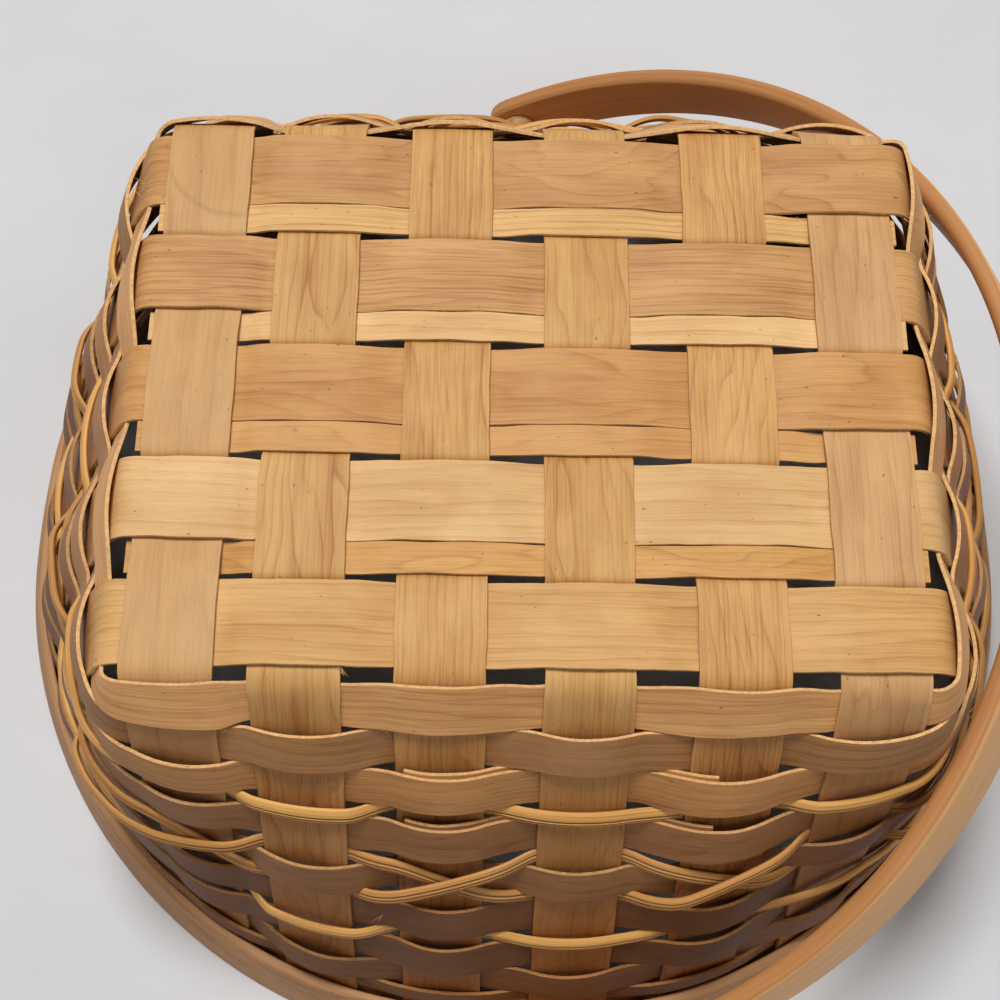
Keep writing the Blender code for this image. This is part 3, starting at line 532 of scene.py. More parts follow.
def stake_line(low, high, crossings, crown):
    """The middle line and width directions of a stake, from the low end's rim to the high end's."""
    along, across = (Y_DIR, X_DIR) if low["along_x"] else (X_DIR, Y_DIR)
    fixed = low["place"] * across
    half = HALF_DEPTH if low["along_x"] else HALF_LENGTH

    def down_wall(stake):
        turned = 1.0 if np.dot(wall_point(stake, 1.0)[1], across) > 0 else -1.0
        shares = np.linspace(FOLD_REACH / stake["length"], 1 - STAKE_END_INSET / FLOOR, 60)
        points = [wall_point(stake, share) for share in shares]
        return [(spot, tangent * turned) for spot, tangent in points]

    def fold(stake, place, lift, reach):
        inner = fixed + along * place + Z_DIR * (FLOOR + lift)
        top, below = wall_point(stake, 0.0)[0], wall_point(stake, 1e-3)[0]
        lean = np.dot(below - top, along) / (top[2] - below[2])
        corner = fixed + along * (reach - lift * lean) + Z_DIR * (FLOOR + lift)
        outer = wall_point(stake, FOLD_REACH / stake["length"])[0]
        shares = [(i + 1) / 8 for i in range(7)]
        return [((1 - t) ** 2 * inner + 2 * t * (1 - t) * corner + t**2 * outer, across) for t in shares]

    floor = floor_run(crossings, crown)
    line = down_wall(low)[::-1] + fold(low, *floor[0], -half)[::-1]
    line += [(fixed + along * place + Z_DIR * (FLOOR + lift), across) for place, lift in floor]
    line += fold(high, *floor[-1], half) + down_wall(high)
    return relax(np.array([spot for spot, _ in line]), 3), np.array([side for _, side in line])


def square_to(spots, sides):
    """The directions square to a line and to its sides, at each of its stations."""
    ahead = np.vstack([spots[1:], spots[-1:]]) - np.vstack([spots[:1], spots[:-1]])
    return units(np.cross(ahead, sides))


def faces_out(spots, sides):
    """Outward direction of a strip at each of its stations."""
    outs = square_to(spots, sides)
    return outs if outs[len(outs) // 2][2] > 0 else -outs


# %% Finishes of the stakes
CUT_PALE = cut_edge("pale cut edge", (222, 180, 124), (188, 138, 86), 1)
CUT_WARM = cut_edge("warm cut edge", (236, 194, 136), (206, 152, 96), 2)
# each wood: pale, deep, gap between rings, their depth and wander, fine lines, clouds, marks
CROSS_WOOD = [
    ((208, 163, 107), (172, 122, 71), 0.0110, 0.35, 0.6, 0.24, 0.35, ((-0.0890, 0.0790, 0.0240, 0.0013),)),
    ((214, 168, 105), (166, 108, 51), 0.0046, 0.60, 2.6, 0.30),
    ((213, 165, 100), (166, 106, 49), 0.0048, 0.60, 2.0, 0.40),
    ((215, 168, 103), (170, 112, 53), 0.0054, 0.50, 2.4, 0.30),
    ((216, 166, 102), (168, 108, 51), 0.0044, 0.60, 1.8, 0.45),
    ((214, 168, 114), (172, 120, 72), 0.0064, 0.45, 1.1, 0.28),
]
LONG_WOOD = [
    ((206, 156, 98), (162, 104, 55), 0.0072, 0.50, 3.4, 0.30, 0.5),
    ((211, 162, 103), (164, 108, 59), 0.0024, 0.40, 2.2, 0.55),
    ((209, 156, 94), (168, 108, 53), 0.0060, 0.45, 2.0, 0.35),
    ((226, 184, 126), (182, 128, 71), 0.0042, 0.45, 0.9, 0.25),
    ((219, 172, 108), (176, 120, 61), 0.0036, 0.50, 0.7, 0.30),
]

# %% Lay the eleven stakes
FLOOR_EASE = 0.0008  # how far a splint stays flat past the edge of the one it crosses
CROSS_CROWN, LONG_CROWN, FILLER_CROWN = 0.00028, 0.00034, 0.00020  # how far each kind bows in the floor


def make_floor_stakes():
    front, right, back, left = STAKES[0:6], STAKES[6:11], STAKES[11:17], STAKES[17:22]
    half_long, half_cross = LONG_STAKE_WIDTH / 2, CROSS_STAKE_WIDTH / 2
    for i in range(6):
        crossings = []
        for j in reversed(range(5)):
            lift = -FLOOR_LIFT if (i + j) % 2 else FLOOR_LIFT
            over_filler = i in (0, 5) and lift < 0
            beside = 0.0 if j == 4 or over_filler else SEAT_GAP + FILLER_WIDTH
            near_edge = LONG_Y[j] - half_long - beside
            crossings.append((near_edge, LONG_Y[j] + half_long, lift))
        spots, sides = stake_line(front[i], back[5 - i], crossings, CROSS_CROWN)
        wood = splint_wood(f"cross stake wood {i + 1}", 11 + i * 3, *CROSS_WOOD[i], rim_shade="stake")
        piece = lay_splint(
            f"cross_stake_{i + 1}_splint", spots - sides * half_cross, spots + sides * half_cross,
            faces_out(spots, sides), STAKE_THICK, (wood, CUT_PALE), seed=21 + i,
        )
        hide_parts(f"cross_stake_{i + 1}")
    for j in range(5):
        crossings = []
        for i, x in enumerate(CROSS_X):
            lift = FLOOR_LIFT if (i + j) % 2 else -FLOOR_LIFT
            crossings.append((x - half_cross - FLOOR_EASE, x + half_cross + FLOOR_EASE, lift))
        spots, sides = stake_line(left[j], right[4 - j], crossings, LONG_CROWN)
        wood = splint_wood(f"long stake wood {j + 1}", 40 + j * 3, *LONG_WOOD[j], rim_shade="stake")
        piece = lay_splint(
            f"long_stake_{j + 1}_splint", spots - sides * half_long, spots + sides * half_long,
            faces_out(spots, sides), STAKE_THICK, (wood, CUT_PALE), seed=41 + j,
        )
        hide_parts(f"long_stake_{j + 1}")


make_floor_stakes()
print("stakes laid:", sum(1 for name in EDGE_LINES if "stake" in name))

# %% [markdown]
# ## Floor fillers
# Four narrow straw-coloured splints lie beside the long stakes and close the floor. They were cut to
# the floor's length, and their ends show under the outer stakes. The third one has a small knot.

# %% Lay the fillers
FILLER_WOOD = [
    ((228, 184, 119), (166, 108, 47), 0.0021, 0.70, 0.5, 0.30, 0.15),
    ((233, 191, 132), (190, 136, 77), 0.0040, 0.40, 0.6, 0.25),
    ((216, 164, 101), (174, 112, 55), 0.0036, 0.40, 1.6, 0.25, 0.40, ((-0.0675, -0.0156, 0.0, 0.0019),)),
    ((219, 166, 96), (172, 112, 49), 0.0056, 0.50, 2.6, 0.35),
]


def make_fillers():
    half = CROSS_STAKE_WIDTH / 2
    low = FLOOR_LIFT + STAKE_THICK / 2 + SEAT_GAP + FILLER_THICK / 2
    for j in range(4):
        y = LONG_Y[j] - LONG_STAKE_WIDTH / 2 - SEAT_GAP - FILLER_WIDTH / 2
        crossings = []
        for i, x in enumerate(CROSS_X):
            over = (i + j) % 2 == 1
            lift = FLOOR_LIFT if over else -FLOOR_LIFT
            if i in (0, 5):
                lift = -low if over else -FLOOR_LIFT
            before = FILLER_END if i == 0 else FLOOR_EASE
            after = FILLER_END if i == 5 else FLOOR_EASE
            crossings.append((x - half - before, x + half + after, lift))
        spots = relax(np.array([[x, y, FLOOR + lift] for x, lift in floor_run(crossings, FILLER_CROWN)]), 2)
        side = np.tile(Y_DIR * FILLER_WIDTH / 2, (len(spots), 1))
        wood = splint_wood(f"filler wood {j + 1}", 70 + j * 5, *FILLER_WOOD[j])
        piece = lay_splint(
            f"floor_filler_{j + 1}_splint", spots - side, spots + side, faces_out(spots, side),
            FILLER_THICK, (wood, CUT_PALE), seed=61 + j,
        )
        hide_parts(f"floor_filler_{j + 1}")


make_fillers()
print("fillers laid: 4")

# %% [markdown]
# ## Weaver rows
# A weaver goes round the wall outside one stake and inside the next. It hugs a stake's two edges,
# bows well away from its middle on the outside and a little on the inside, and slips through the
# wall between stakes. First the wall itself is followed once round at the row's two edges, then the
# splint is pushed out or in from there.

# %% Follow the wall once round
ON_STAKE, BETWEEN = 10, 12
BOW_OUT, BOW_IN = 0.0026, 0.0008
BOW_SHARES = {1: 0.45, 2: 0.85, 3: 0.95, 4: 1.10, 5: 1.00, 6: 1.10, 7: 1.10, 8: 0.95, 9: 0.40}
LEVEL_WANDER = 0.00035  # how far a row strays up or down from stake to stake
BEND_LENGTH = 0.0160  # the longest stretch that a splint's slope at a stake's edge still shapes


def bend_pulls(start, way, end, end_way):
    """The two points that pull on a soft bend, which leaves along way and arrives along end_way."""
    turn = math.acos(max(-1.0, min(1.0, float(np.dot(way, end_way)))))
    pull = np.linalg.norm(end - start) / (3 * math.cos(turn / 4) ** 2)
    return start + way * pull, end - end_way * pull


def bend_point(start, a, b, end, t):
    """A point of the soft bend from start to end that a and b pull on."""
    return (1 - t) ** 3 * start + 3 * t * (1 - t) ** 2 * a + 3 * t**2 * (1 - t) * b + t**3 * end


def wall_line(levels):
    """Places and outward directions once round the wall, with a level for each stake."""
    frames = [wall_frame(stake, level) for stake, level in zip(STAKES, levels)]
    places, outs = [], []
    for k, stake in enumerate(STAKES):
        spot, tangent, _, normal = frames[k]
        after = frames[(k + 1) % COUNT]
        half, half_after = stake["width"] / 2, STAKES[(k + 1) % COUNT]["width"] / 2
        for i in range(ON_STAKE + 1):
            places.append(spot + tangent * half * (2 * i / ON_STAKE - 1))
            outs.append(normal)
        start, end = spot + tangent * half, after[0] - after[1] * half_after
        a, b = bend_pulls(start, tangent, end, after[1])
        for i in range(1, BETWEEN):
            t = i / BETWEEN
            places.append(bend_point(start, a, b, end, t))
            outs.append(unit(normal * (1 - t) + after[3] * t))
    return np.array(places), np.array(outs)


def weave(places, over_even, hug, bow_out, bow_in, lifts=None):
    """How far out of the wall a weaver lies at each station of a wall line.

    lifts raises it over some stakes, where a second splint lies under it.
    """
    lifts = lifts or {}
    size = ON_STAKE + BETWEEN
    signs = [1.0 if (k % 2 == 0) == over_even else -1.0 for k in range(COUNT)]
    hugs = [signs[k] * hug + lifts.get(k, 0.0) for k in range(COUNT)]
    bows = [bow_out if sign > 0 else -bow_in for sign in signs]
    offsets = []
    for k, stake in enumerate(STAKES):
        after = (k + 1) % COUNT
        for i in range(ON_STAKE + 1):
            offsets.append(hugs[k] + bows[k] * (1 - (2 * i / ON_STAKE - 1) ** 2))
        first, last = k * size + ON_STAKE, ((k + 1) * size) % len(places)
        reach = min(np.linalg.norm(places[last] - places[first]), BEND_LENGTH)
        leave = -4 * bows[k] / stake["width"] * reach
        arrive = 4 * bows[after] / STAKES[after]["width"] * reach
        for i in range(1, BETWEEN):
            t = i / BETWEEN
            rise = 3 * t**2 - 2 * t**3
            between = hugs[k] * (1 - rise) + hugs[after] * rise
            offsets.append(between + leave * (t**3 - 2 * t**2 + t) + arrive * (t**3 - t**2))
    return np.array(offsets)


def row_levels(row, tuck, over_even, wander=0.0, seed=0):
    """Levels of a row's upper and lower edge at each stake."""
    pick = random.Random(seed)
    uppers, lowers = [], []
    for k, stake in enumerate(STAKES):
        half = row["width"] * stake["size"] / 2 / stake["length"]
        over = (k % 2 == 0) == over_even
        level = row["level"] + pick.uniform(-wander, wander) / stake["length"]
        uppers.append(level - half + (0.0 if over else tuck / stake["length"]))
        lowers.append(level + half)
    return uppers, lowers


def edges_round(uppers, lowers):
    """Upper edge, lower edge and outward directions of a row once round the wall."""
    tops, outs_top = wall_line(uppers)
    bottoms, outs_low = wall_line(lowers)
    return tops, bottoms, units(outs_top + outs_low)


# %% Finishes of the rows
# Row 1 is paler and the rows nearer the rim are darker, partly for their own wood and partly as painted
# light and shade.
ROW_WOOD = {  # by row: pale, deep, gap between rings, their depth and wander
    1: ((232, 176, 114), (182, 122, 68), 0.0042, 0.50, 1.2),
    2: ((180, 129, 78), (136, 88, 46), 0.0046, 0.55, 0.9),
    3: ((208, 152, 92), (156, 102, 54), 0.0044, 0.50, 1.2),
    4: ((178, 126, 80), (134, 86, 48), 0.0060, 0.50, 1.5),
    5: ((186, 136, 86), (142, 94, 54), 0.0052, 0.45, 1.5),
    6: ((152, 104, 62), (114, 72, 40), 0.0060, 0.45, 1.2),
    7: ((156, 113, 72), (120, 79, 44), 0.0050, 0.45, 1.2),
    8: ((170, 122, 78), (130, 84, 48), 0.0040, 0.45, 1.0),
    9: ((160, 110, 70), (124, 78, 46), 0.0040, 0.45, 1.0),
}
OVER_EVEN = {1: True, 2: False, 3: True, 4: True, 5: False, 6: True, 7: True, 8: False, 9: True}

# %% Lay the nine wide rows
FIRST_ROW_TUCK = 0.0019
BACK_STAKE = 12  # a row's two ends meet inside this stake or the next, where neither shows
SPLICED_ROWS = (3, 4)
SPLICE_DEPTH = WEAVER_THICK + 0.0001
SPLICE_LIFTS = {2: SPLICE_DEPTH, 4: SPLICE_DEPTH}
SPLICE_SHOWS = 0.0011  # how far the second splint stands past the first one's upper edge


def make_weavers():
    hug = (STAKE_THICK + WEAVER_THICK) / 2 + WEAVE_CLEAR
    for number, wood in ROW_WOOD.items():
        row = ROWS[f"weaver_row_{number}"]
        over_even = OVER_EVEN[number]
        lifts = SPLICE_LIFTS if number in SPLICED_ROWS else None
        tuck, wander = (FIRST_ROW_TUCK, 0.0) if number == 1 else (0.0, LEVEL_WANDER)
        uppers, lowers = row_levels(row, tuck, over_even, wander, seed=number)
        tops, bottoms, outs = edges_round(uppers, lowers)
        bow = BOW_OUT * BOW_SHARES[number]
        offsets = weave((tops + bottoms) / 2, over_even, hug, bow, BOW_IN, lifts)[:, None]
        finish = splint_wood(f"weaver wood {number}", 100 + number * 7, *wood)
        tops, bottoms = tops + outs * offsets, bottoms + outs * offsets
        seam = (BACK_STAKE + over_even) * (ON_STAKE + BETWEEN) + ON_STAKE // 2
        piece = lay_splint(
            f"weaver_row_{number}_splint", *(np.roll(line, -seam, axis=0) for line in (tops, bottoms, outs)),
            WEAVER_THICK, (finish, CUT_WARM), closed=True, seed=80 + number,
        )
        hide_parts(f"weaver_row_{number}")
        if number in SPLICED_ROWS:
            make_splice(number, tops, bottoms, outs, finish)


def make_splice(number, tops, bottoms, outs, finish):
    """The end of a new weaver, laid behind the old one from the third to the fifth stake."""
    size = ON_STAKE + BETWEEN
    part = slice(2 * size + 1, 4 * size + 4)
    shift = unit(tops[part][0] - bottoms[part][0]) * SPLICE_SHOWS
    shift = shift - outs[part] * SPLICE_DEPTH
    piece = lay_splint(
        f"weaver_row_{number}_splice", tops[part] + shift, bottoms[part] + shift, outs[part],
        WEAVER_THICK, (finish, CUT_WARM), seed=90 + number,
    )


make_weavers()
print("rows and splices laid:", sum(1 for name in EDGE_LINES if "weaver" in name))

# %% [markdown]
# ## Reeds
# The two narrow golden rows and the pair that crosses over the fifth row are split reed: domed, twice
# as thick as a splint, with deep grooves along them. A closed grid wrapped round a grooved outline
# and swept along the line makes the grooves real. The hoops and the handle are laid the same way.


# %% Lay a bar with a fixed outline
def grooved(grooves, count=72):
    """A reed's outline as (across, out, shade): flatter behind, domed in front, shade 1 in a groove."""
    points = []
    for number in range(count):
        angle = 2 * math.pi * number / count
        across, out = math.cos(angle), math.sin(angle)
        dip = max([0.0] + [1 - ((across - place) / 0.13) ** 2 for place in grooves]) if out > 0 else 0.0
        points.append((across, out * (1.0 if out > 0 else 0.8) - 0.42 * dip, dip))
    return points


def quarters(steps):
    """Signs, cosine and sine at the steps of one whole turn, with both ends of every quarter."""
    for quarter in range(4):
        for i in range(steps + 1):
            angle = math.pi / 2 * (quarter + i / steps)
            yield (1, -1, -1, 1)[quarter], (1, 1, -1, -1)[quarter], math.cos(angle), math.sin(angle)


def rounded_bar(width, thick, radius, steps=4):
    """A bar's outline with round corners, in half sizes; shade is 1 on its narrow edges."""
    points = []
    for sign_w, sign_t, c, s in quarters(steps):
        w, t = sign_w * (width / 2 - radius) + radius * c, sign_t * (thick / 2 - radius) + radius * s
        points.append((w / (width / 2), t / (thick / 2), abs(c)))
    return points


def lay_bar(name, spots, sides, outs, width, thick, finish, closed, outline, body="basket"):
    """A solid with a fixed outline along a line; sides point across it and outs away from the wall."""
    if closed:
        spots, sides, outs = (np.vstack([line, line[:1]]) for line in (spots, sides, outs))
    run = run_along(spots)
    last, ring = len(run) - 1, len(outline)
    bm = bmesh.new()
    grain = bm.loops.layers.uv.new("grain")
    edge = bm.verts.layers.float.new("edge")
    bmesh.ops.create_grid(bm, x_segments=last, y_segments=ring, size=1.0)
    lengths = run_along(np.array([(w * width / 2, h * thick / 2) for w, h, _ in outline + outline[:1]]))
    for face in bm.faces:
        for loop in face.loops:
            station, corner = grid_place(loop.vert, last, ring)
            loop[grain].uv = (run[station], lengths[corner])
    for vert in bm.verts:
        station, corner = grid_place(vert, last, ring)
        across, up, vert[edge] = outline[corner % ring]
        vert.co = spots[station] + sides[station] * across * width / 2 + outs[station] * up * thick / 2
    bmesh.ops.remove_doubles(bm, verts=bm.verts, dist=1e-6)
    if not closed:
        bmesh.ops.holes_fill(bm, edges=[e for e in bm.edges if e.is_boundary], sides=0)
    bmesh.ops.recalc_face_normals(bm, faces=bm.faces)
    bar = put_in_scene(name, bm, finish)
    bar.data.set_sharp_from_angle(angle=math.radians(62.0))
    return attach(bar, body)


def reed_wood(name, seed, pale, deep, groove):
    """Golden reed with long stripes, and painted shade that makes it darkest in its grooves."""
    n = Nodes(name, (seed * 1.3, seed * 0.7))
    pale, deep, groove = srgb(*pale), srgb(*deep), srgb(*groove)
    stripe, fibre = n.along((9.0, 900.0), rough=0.6), n.along((60.0, 3600.0), detail=3.0, rough=0.6)
    colour = n.mix(n.ramp(stripe, (0.46, 0.0), (0.66, 0.7)), pale, deep)
    colour = n.mix(n.ramp(n.along((30.0, 60.0)), (0.45, 0.0), (0.75, 0.3)), colour, deep)
    # Painted shade in the grooves.
    colour = n.mix(n.ramp(n.edge(), (0.05, 0.0), (0.8, 0.9)), colour, groove)
    colour = n.mix(1.0, colour, n.ramp(fibre, (0.3, 0.85), (0.7, 1.06)), "MULTIPLY")
    n.bump(n.math("ADD", stripe, n.math("MULTIPLY", fibre, 0.4)), 0.45, 0.0003)
    return n.surface(colour, n.ramp(fibre, (0.3, 0.58), (0.7, 0.44)), 0.3)


# %% The two narrow rows
REED_WIDTHS = (0.0056, 0.0050)
REED_GROOVES = (0.18, 0.58)
REED_BOWS = (0.0012, 0.0006)  # outside a stake and inside it
# pale, deep, and the painted shade in the grooves
REED_COLOURS = ((232, 176, 98), (184, 124, 58), (92, 52, 24))


def make_reed_rows():
    hug = (STAKE_THICK + REED_THICK) / 2 + WEAVE_CLEAR
    for number, width in enumerate(REED_WIDTHS, start=1):
        row = ROWS[f"reed_row_{number}"]
        tops, bottoms, outs = edges_round(*row_levels(row, 0.0, False))
        middles = (tops + bottoms) / 2
        offsets = weave(middles, False, hug, *REED_BOWS)[:, None]
        sides = (bottoms - tops) / row["width"]
        finish = reed_wood(f"reed row wood {number}", number, *REED_COLOURS)
        piece = lay_bar(
            f"reed_row_{number}_reed", middles + outs * offsets, sides, outs, width, REED_THICK, finish,
            closed=True, outline=grooved(REED_GROOVES),
        )
        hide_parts(f"reed_row_{number}")


make_reed_rows()
print("reed rows laid: 2")


# %% The two crossing reeds
CROSS_GROOVES = (-0.35, 0.20, 0.62)
CROSS_INSIDE = STAKE_THICK / 2 + WEAVE_CLEAR + REED_THICK / 2
CROSS_EDGE_SHARE = 0.62  # how much of its height a reed still has at a stake's edge
CORNER_SWING = MIDDLE_BOW = 0.0004
GAP_SHARE = 0.55  # how much of its offset a reed keeps halfway between two stakes
# pale, deep, and the painted shade in the grooves
CROSS_REED_COLOURS = ((212, 154, 86), (158, 102, 50), (80, 46, 22))


def gap_points(before, after, level_a, level_b, offset, to_odd):
    """Points of a crossing reed between two stakes; round a corner it swings a little wide."""
    a, b = wall_frame(before, level_a), wall_frame(after, level_b)
    start, end = a[0] + a[1] * before["width"] / 2, b[0] - b[1] * after["width"] / 2
    corner = before["along_x"] != after["along_x"]
    p, q = bend_pulls(start, a[1], end, b[1])
    shares = (0.5,)
    if corner:
        shares = (0.25, 0.55, 0.84) if to_odd else (0.16, 0.45, 0.75)
    line = []
    for t in shares:
        point = bend_point(start, p, q, end, t)
        normal = unit(a[3] * (1 - t) + b[3] * t)
        away = offset + CORNER_SWING if corner else offset * GAP_SHARE
        line.append((point + normal * away, unit(a[2] * (1 - t) + b[2] * t), normal))
    return line


def smooth_line(line, step):
    """A rounder line through the stations, with a station every step."""
    spots, sides, outs = (np.array(part) for part in zip(*line))
    run = run_along(spots)
    dense = np.linspace(0, run[-1], int(run[-1] / step) + 1)
    spots, sides, outs = (
        relax(np.stack([np.interp(dense, run, part[:, axis]) for axis in range(3)], axis=1), 6)
        for part in (spots, sides, outs)
    )
    return spots, units(sides), units(outs)


def cross_line(goes_down):
    """One reed once round, inside the odd stakes and over the even ones, changing level at each."""
    upper, lower = CROSSINGS
    middle = ROWS["weaver_row_5"]["level"]
    front = CROSS_INSIDE + REED_THICK + 0.0002
    line = []

    def put(stake, level, along, offset):
        spot, tangent, down, normal = wall_frame(stake, level)
        line.append((spot + tangent * along + normal * offset, down, normal))

    for step in range(COUNT // 2):
        odd, even, odd_after = (STAKES[(13 + 2 * step + i) % COUNT] for i in range(3))
        here, there = (upper, lower) if goes_down else (lower, upper)
        offset = CROSS_INSIDE if goes_down else front
        enter = middle + (here - middle) * CROSS_EDGE_SHARE
        leave = middle + (there - middle) * CROSS_EDGE_SHARE
        if step == 0:
            put(odd, here, 0.0002, -CROSS_INSIDE)
        put(odd, here, odd["width"] / 2, -CROSS_INSIDE)
        line += gap_points(odd, even, here, enter, offset, False)
        put(even, enter, -even["width"] / 2, offset)
        put(even, middle, 0.0, offset + MIDDLE_BOW)
        put(even, leave, even["width"] / 2, offset)
        line += gap_points(even, odd_after, leave, there, offset, True)
        put(odd_after, there, -odd_after["width"] / 2, -CROSS_INSIDE)
        if step == COUNT // 2 - 1:
            put(odd_after, there, -0.0002, -CROSS_INSIDE)
        goes_down = not goes_down
    return line


def make_cross_reeds():
    for number in (1, 2):
        spots, sides, outs = smooth_line(cross_line(number == 1), 0.0020)
        finish = reed_wood(f"crossing reed wood {number}", 5 + number, *CROSS_REED_COLOURS)
        piece = lay_bar(
            f"cross_reed_{number}_reed", spots, sides, outs, CROSS_REED_WIDTH, REED_THICK, finish,
            closed=False, outline=grooved(CROSS_GROOVES),
        )
        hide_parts(f"cross_reed_{number}")


make_cross_reeds()
print("crossing reeds laid: 2")

# %% [markdown]
# ## Rim hoops
# Two bent hoops hold the stakes' ends between them. Their outline is a rounded bar that leans with
# the wall, so it is swept round the same outline that the wall has at each height.

# %% Lay the hoops
RIM_LEAN = math.hypot(1.0, (RIM_REACH - outline_at(HOOP_SHARE)[1]) / HOOP_HEIGHT)
OUTER_FACE = (STAKE_THICK / 2 + SEAT_GAP) * RIM_LEAN
HOOP_ROUND = 0.0012
HOOPS = (
    ("outer_rim_hoop", OUTER_FACE + STAKE_SAG, OUTER_HOOP_THICK * RIM_LEAN, (192, 144, 98), (150, 102, 64)),
    ("inner_rim_hoop", -OUTER_FACE - INNER_HOOP_THICK * RIM_LEAN, INNER_HOOP_THICK * RIM_LEAN,
     (192, 140, 92), (150, 98, 58)),
)


def hoop_line(height, offset, steps):
    """The wall's outline at a height, pushed out by offset: four quarter ellipses and short flats."""
    half_x, half_y, corner_x, corner_y = outline_at(1 - height / FLOOR)
    long_radius, deep_radius = half_x - corner_x, half_y - corner_y
    points, outs = [], []
    for sign_x, sign_y, c, s in quarters(steps):
        normal = unit(np.array([deep_radius * c, long_radius * s, 0.0]))
        spot = (sign_x * corner_x + long_radius * c, sign_y * corner_y + deep_radius * s, height)
        points.append(np.array(spot) + normal * offset)
        outs.append(normal)
    return np.array(points), np.array(outs)


def make_hoops():
    for name, face, thick, pale, deep in HOOPS:
        top, outs = hoop_line(HOOP_HEIGHT, face + thick / 2, 36)
        foot, _ = hoop_line(0.0, face + thick / 2, 36)
        finish = splint_wood(f"{name.replace('_', ' ')} wood", 7, pale, deep, 0.0060, 0.4, 1.0, rim_shade=None)
        piece = lay_bar(
            f"{name}_bar", (top + foot) / 2, (foot - top) / HOOP_HEIGHT, outs, HOOP_HEIGHT, thick, finish,
            closed=True, outline=rounded_bar(HOOP_HEIGHT, thick, HOOP_ROUND),
        )
        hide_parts(name)


make_hoops()
print("hoops laid: 2")

# %% [markdown]
# ## Handle
# One broad strip of ash bent to the rim's size, widest at its crown, with rounded long edges. Its
# faces are plain tan and its worn narrow edges more orange. It swings about the two rivets, so it
# rides on its own body, and the angle that it is folded to is measured on the solid.


# %% Bend the handle
def handle_wood():
    n = Nodes("bent handle wood")
    streak, fibre = (n.along(cells, detail=3.0, rough=0.6) for cells in ((6.0, 420.0), (50.0, 2600.0)))
    face = n.mix(n.ramp(streak, (0.35, 0.0), (0.70, 0.7)), srgb(238, 184, 120), srgb(214, 152, 92))
    face = n.mix(n.ramp(n.along((14.0, 50.0)), (0.40, 0.0), (0.70, 0.4)), face, srgb(220, 158, 96))
    side = n.mix(n.ramp(streak, (0.35, 0.0), (0.70, 0.8)), srgb(192, 134, 80), srgb(166, 108, 60))
    colour = n.mix(n.ramp(n.edge(), (0.45, 0.0), (0.75, 1.0)), face, side)
    colour = n.mix(1.0, colour, n.ramp(fibre, (0.3, 0.90), (0.7, 1.06)), "MULTIPLY")
    n.bump(n.math("ADD", streak, n.math("MULTIPLY", fibre, 0.5)), 0.25, 0.0003)
    return n.surface(colour, n.ramp(fibre, (0.3, 0.54), (0.7, 0.42)), 0.35)


def measured_tilt():
    """How far the solid handle is folded up, from the middle of its crown."""
    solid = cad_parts["swing_handle"]
    spots = np.array([solid.matrix_world @ vert.co for vert in solid.data.vertices])
    crown = spots[(np.abs(spots[:, 1]) < 1e-3) & (spots[:, 0] > 0)].mean(axis=0)
    return math.atan2(crown[2] - PIVOT_HEIGHT, crown[0])


def handle_line():
    """Places in the handle's own plane, x out from the axle and y along it, each with its half width."""
    rim = RIM_REACH + OUTER_FACE + STAKE_SAG + OUTER_HOOP_THICK * RIM_LEAN
    end_reach = rim + SEAT_GAP * 2 + HANDLE_THICK / 2
    crown_reach = rim + HANDLE_CLEAR + HANDLE_THICK / 2
    half = HANDLE_END_WIDTH / 2
    tail = []
    for share in (0.01, 0.04, 0.09, 0.16, 0.26, 0.38, 0.54, 0.74, 1.0):
        tail.append((-half * (1 - share), -end_reach, half * math.sqrt(1 - (1 - share) ** 2)))
    tail.append((RIM_FLAT, -end_reach, half))
    arc = []
    for i in range(1, 160):
        angle = math.pi * (i / 160 - 0.5)
        x = RIM_FLAT + (crown_reach - RIM_FLAT) * math.cos(angle)
        y = math.copysign(RIM_FLAT, angle) + (end_reach - RIM_FLAT) * math.sin(angle)
        arc.append((x, 0.0 if i == 80 else y, half + (HANDLE_WIDTH / 2 - half) * math.cos(angle)))
    return tail + arc + [(x, -y, h) for x, y, h in reversed(tail)]


def make_handle():
    tilt = measured_tilt()
    cos, sin = math.cos(tilt), math.sin(tilt)
    line = handle_line()
    spots = np.array([[x * cos, y, PIVOT_HEIGHT + x * sin] for x, y, _ in line])
    side = np.array([-sin, 0.0, cos])
    sides = np.array([side * h / (HANDLE_WIDTH / 2) for _, _, h in line])
    outs = square_to(spots, np.tile(side, (len(spots), 1)))
    piece = lay_bar(
        "swing_handle_bar", spots, sides, outs, HANDLE_WIDTH, HANDLE_THICK, handle_wood(), closed=False,
        outline=rounded_bar(HANDLE_WIDTH, HANDLE_THICK, HANDLE_ROUND, steps=5), body="handle",
    )
    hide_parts("swing_handle")
    return tilt


print("handle bent, folded to degrees:", round(math.degrees(make_handle()), 2))

# %% [markdown]
# ## Rivets and spacers
# These turned pieces have their right shape in the solids, so they only need a finish.


# %% Finish the rivets and spacers
def brushed_steel():
    n = Nodes("rivet steel")
    scuff = n.noise(n.place(), scale=900.0, detail=4.0, rough=0.7)
    colour = n.mix(n.ramp(scuff, (0.35, 0.0), (0.7, 1.0)), srgb(200, 196, 188), srgb(150, 146, 138))
    n.feed(1.0, n.shader.inputs["Metallic"])
    return n.surface(colour, n.ramp(scuff, (0.3, 0.28), (0.7, 0.46)))


def turned_wood():
    n = Nodes("spacer wood")
    fibre = n.noise(n.scaled(n.place(), (120.0, 900.0, 900.0)), detail=3.0)
    colour = n.mix(n.ramp(fibre, (0.35, 0.0), (0.7, 1.0)), srgb(198, 148, 98), srgb(160, 108, 64))
    return n.surface(colour, 0.55)


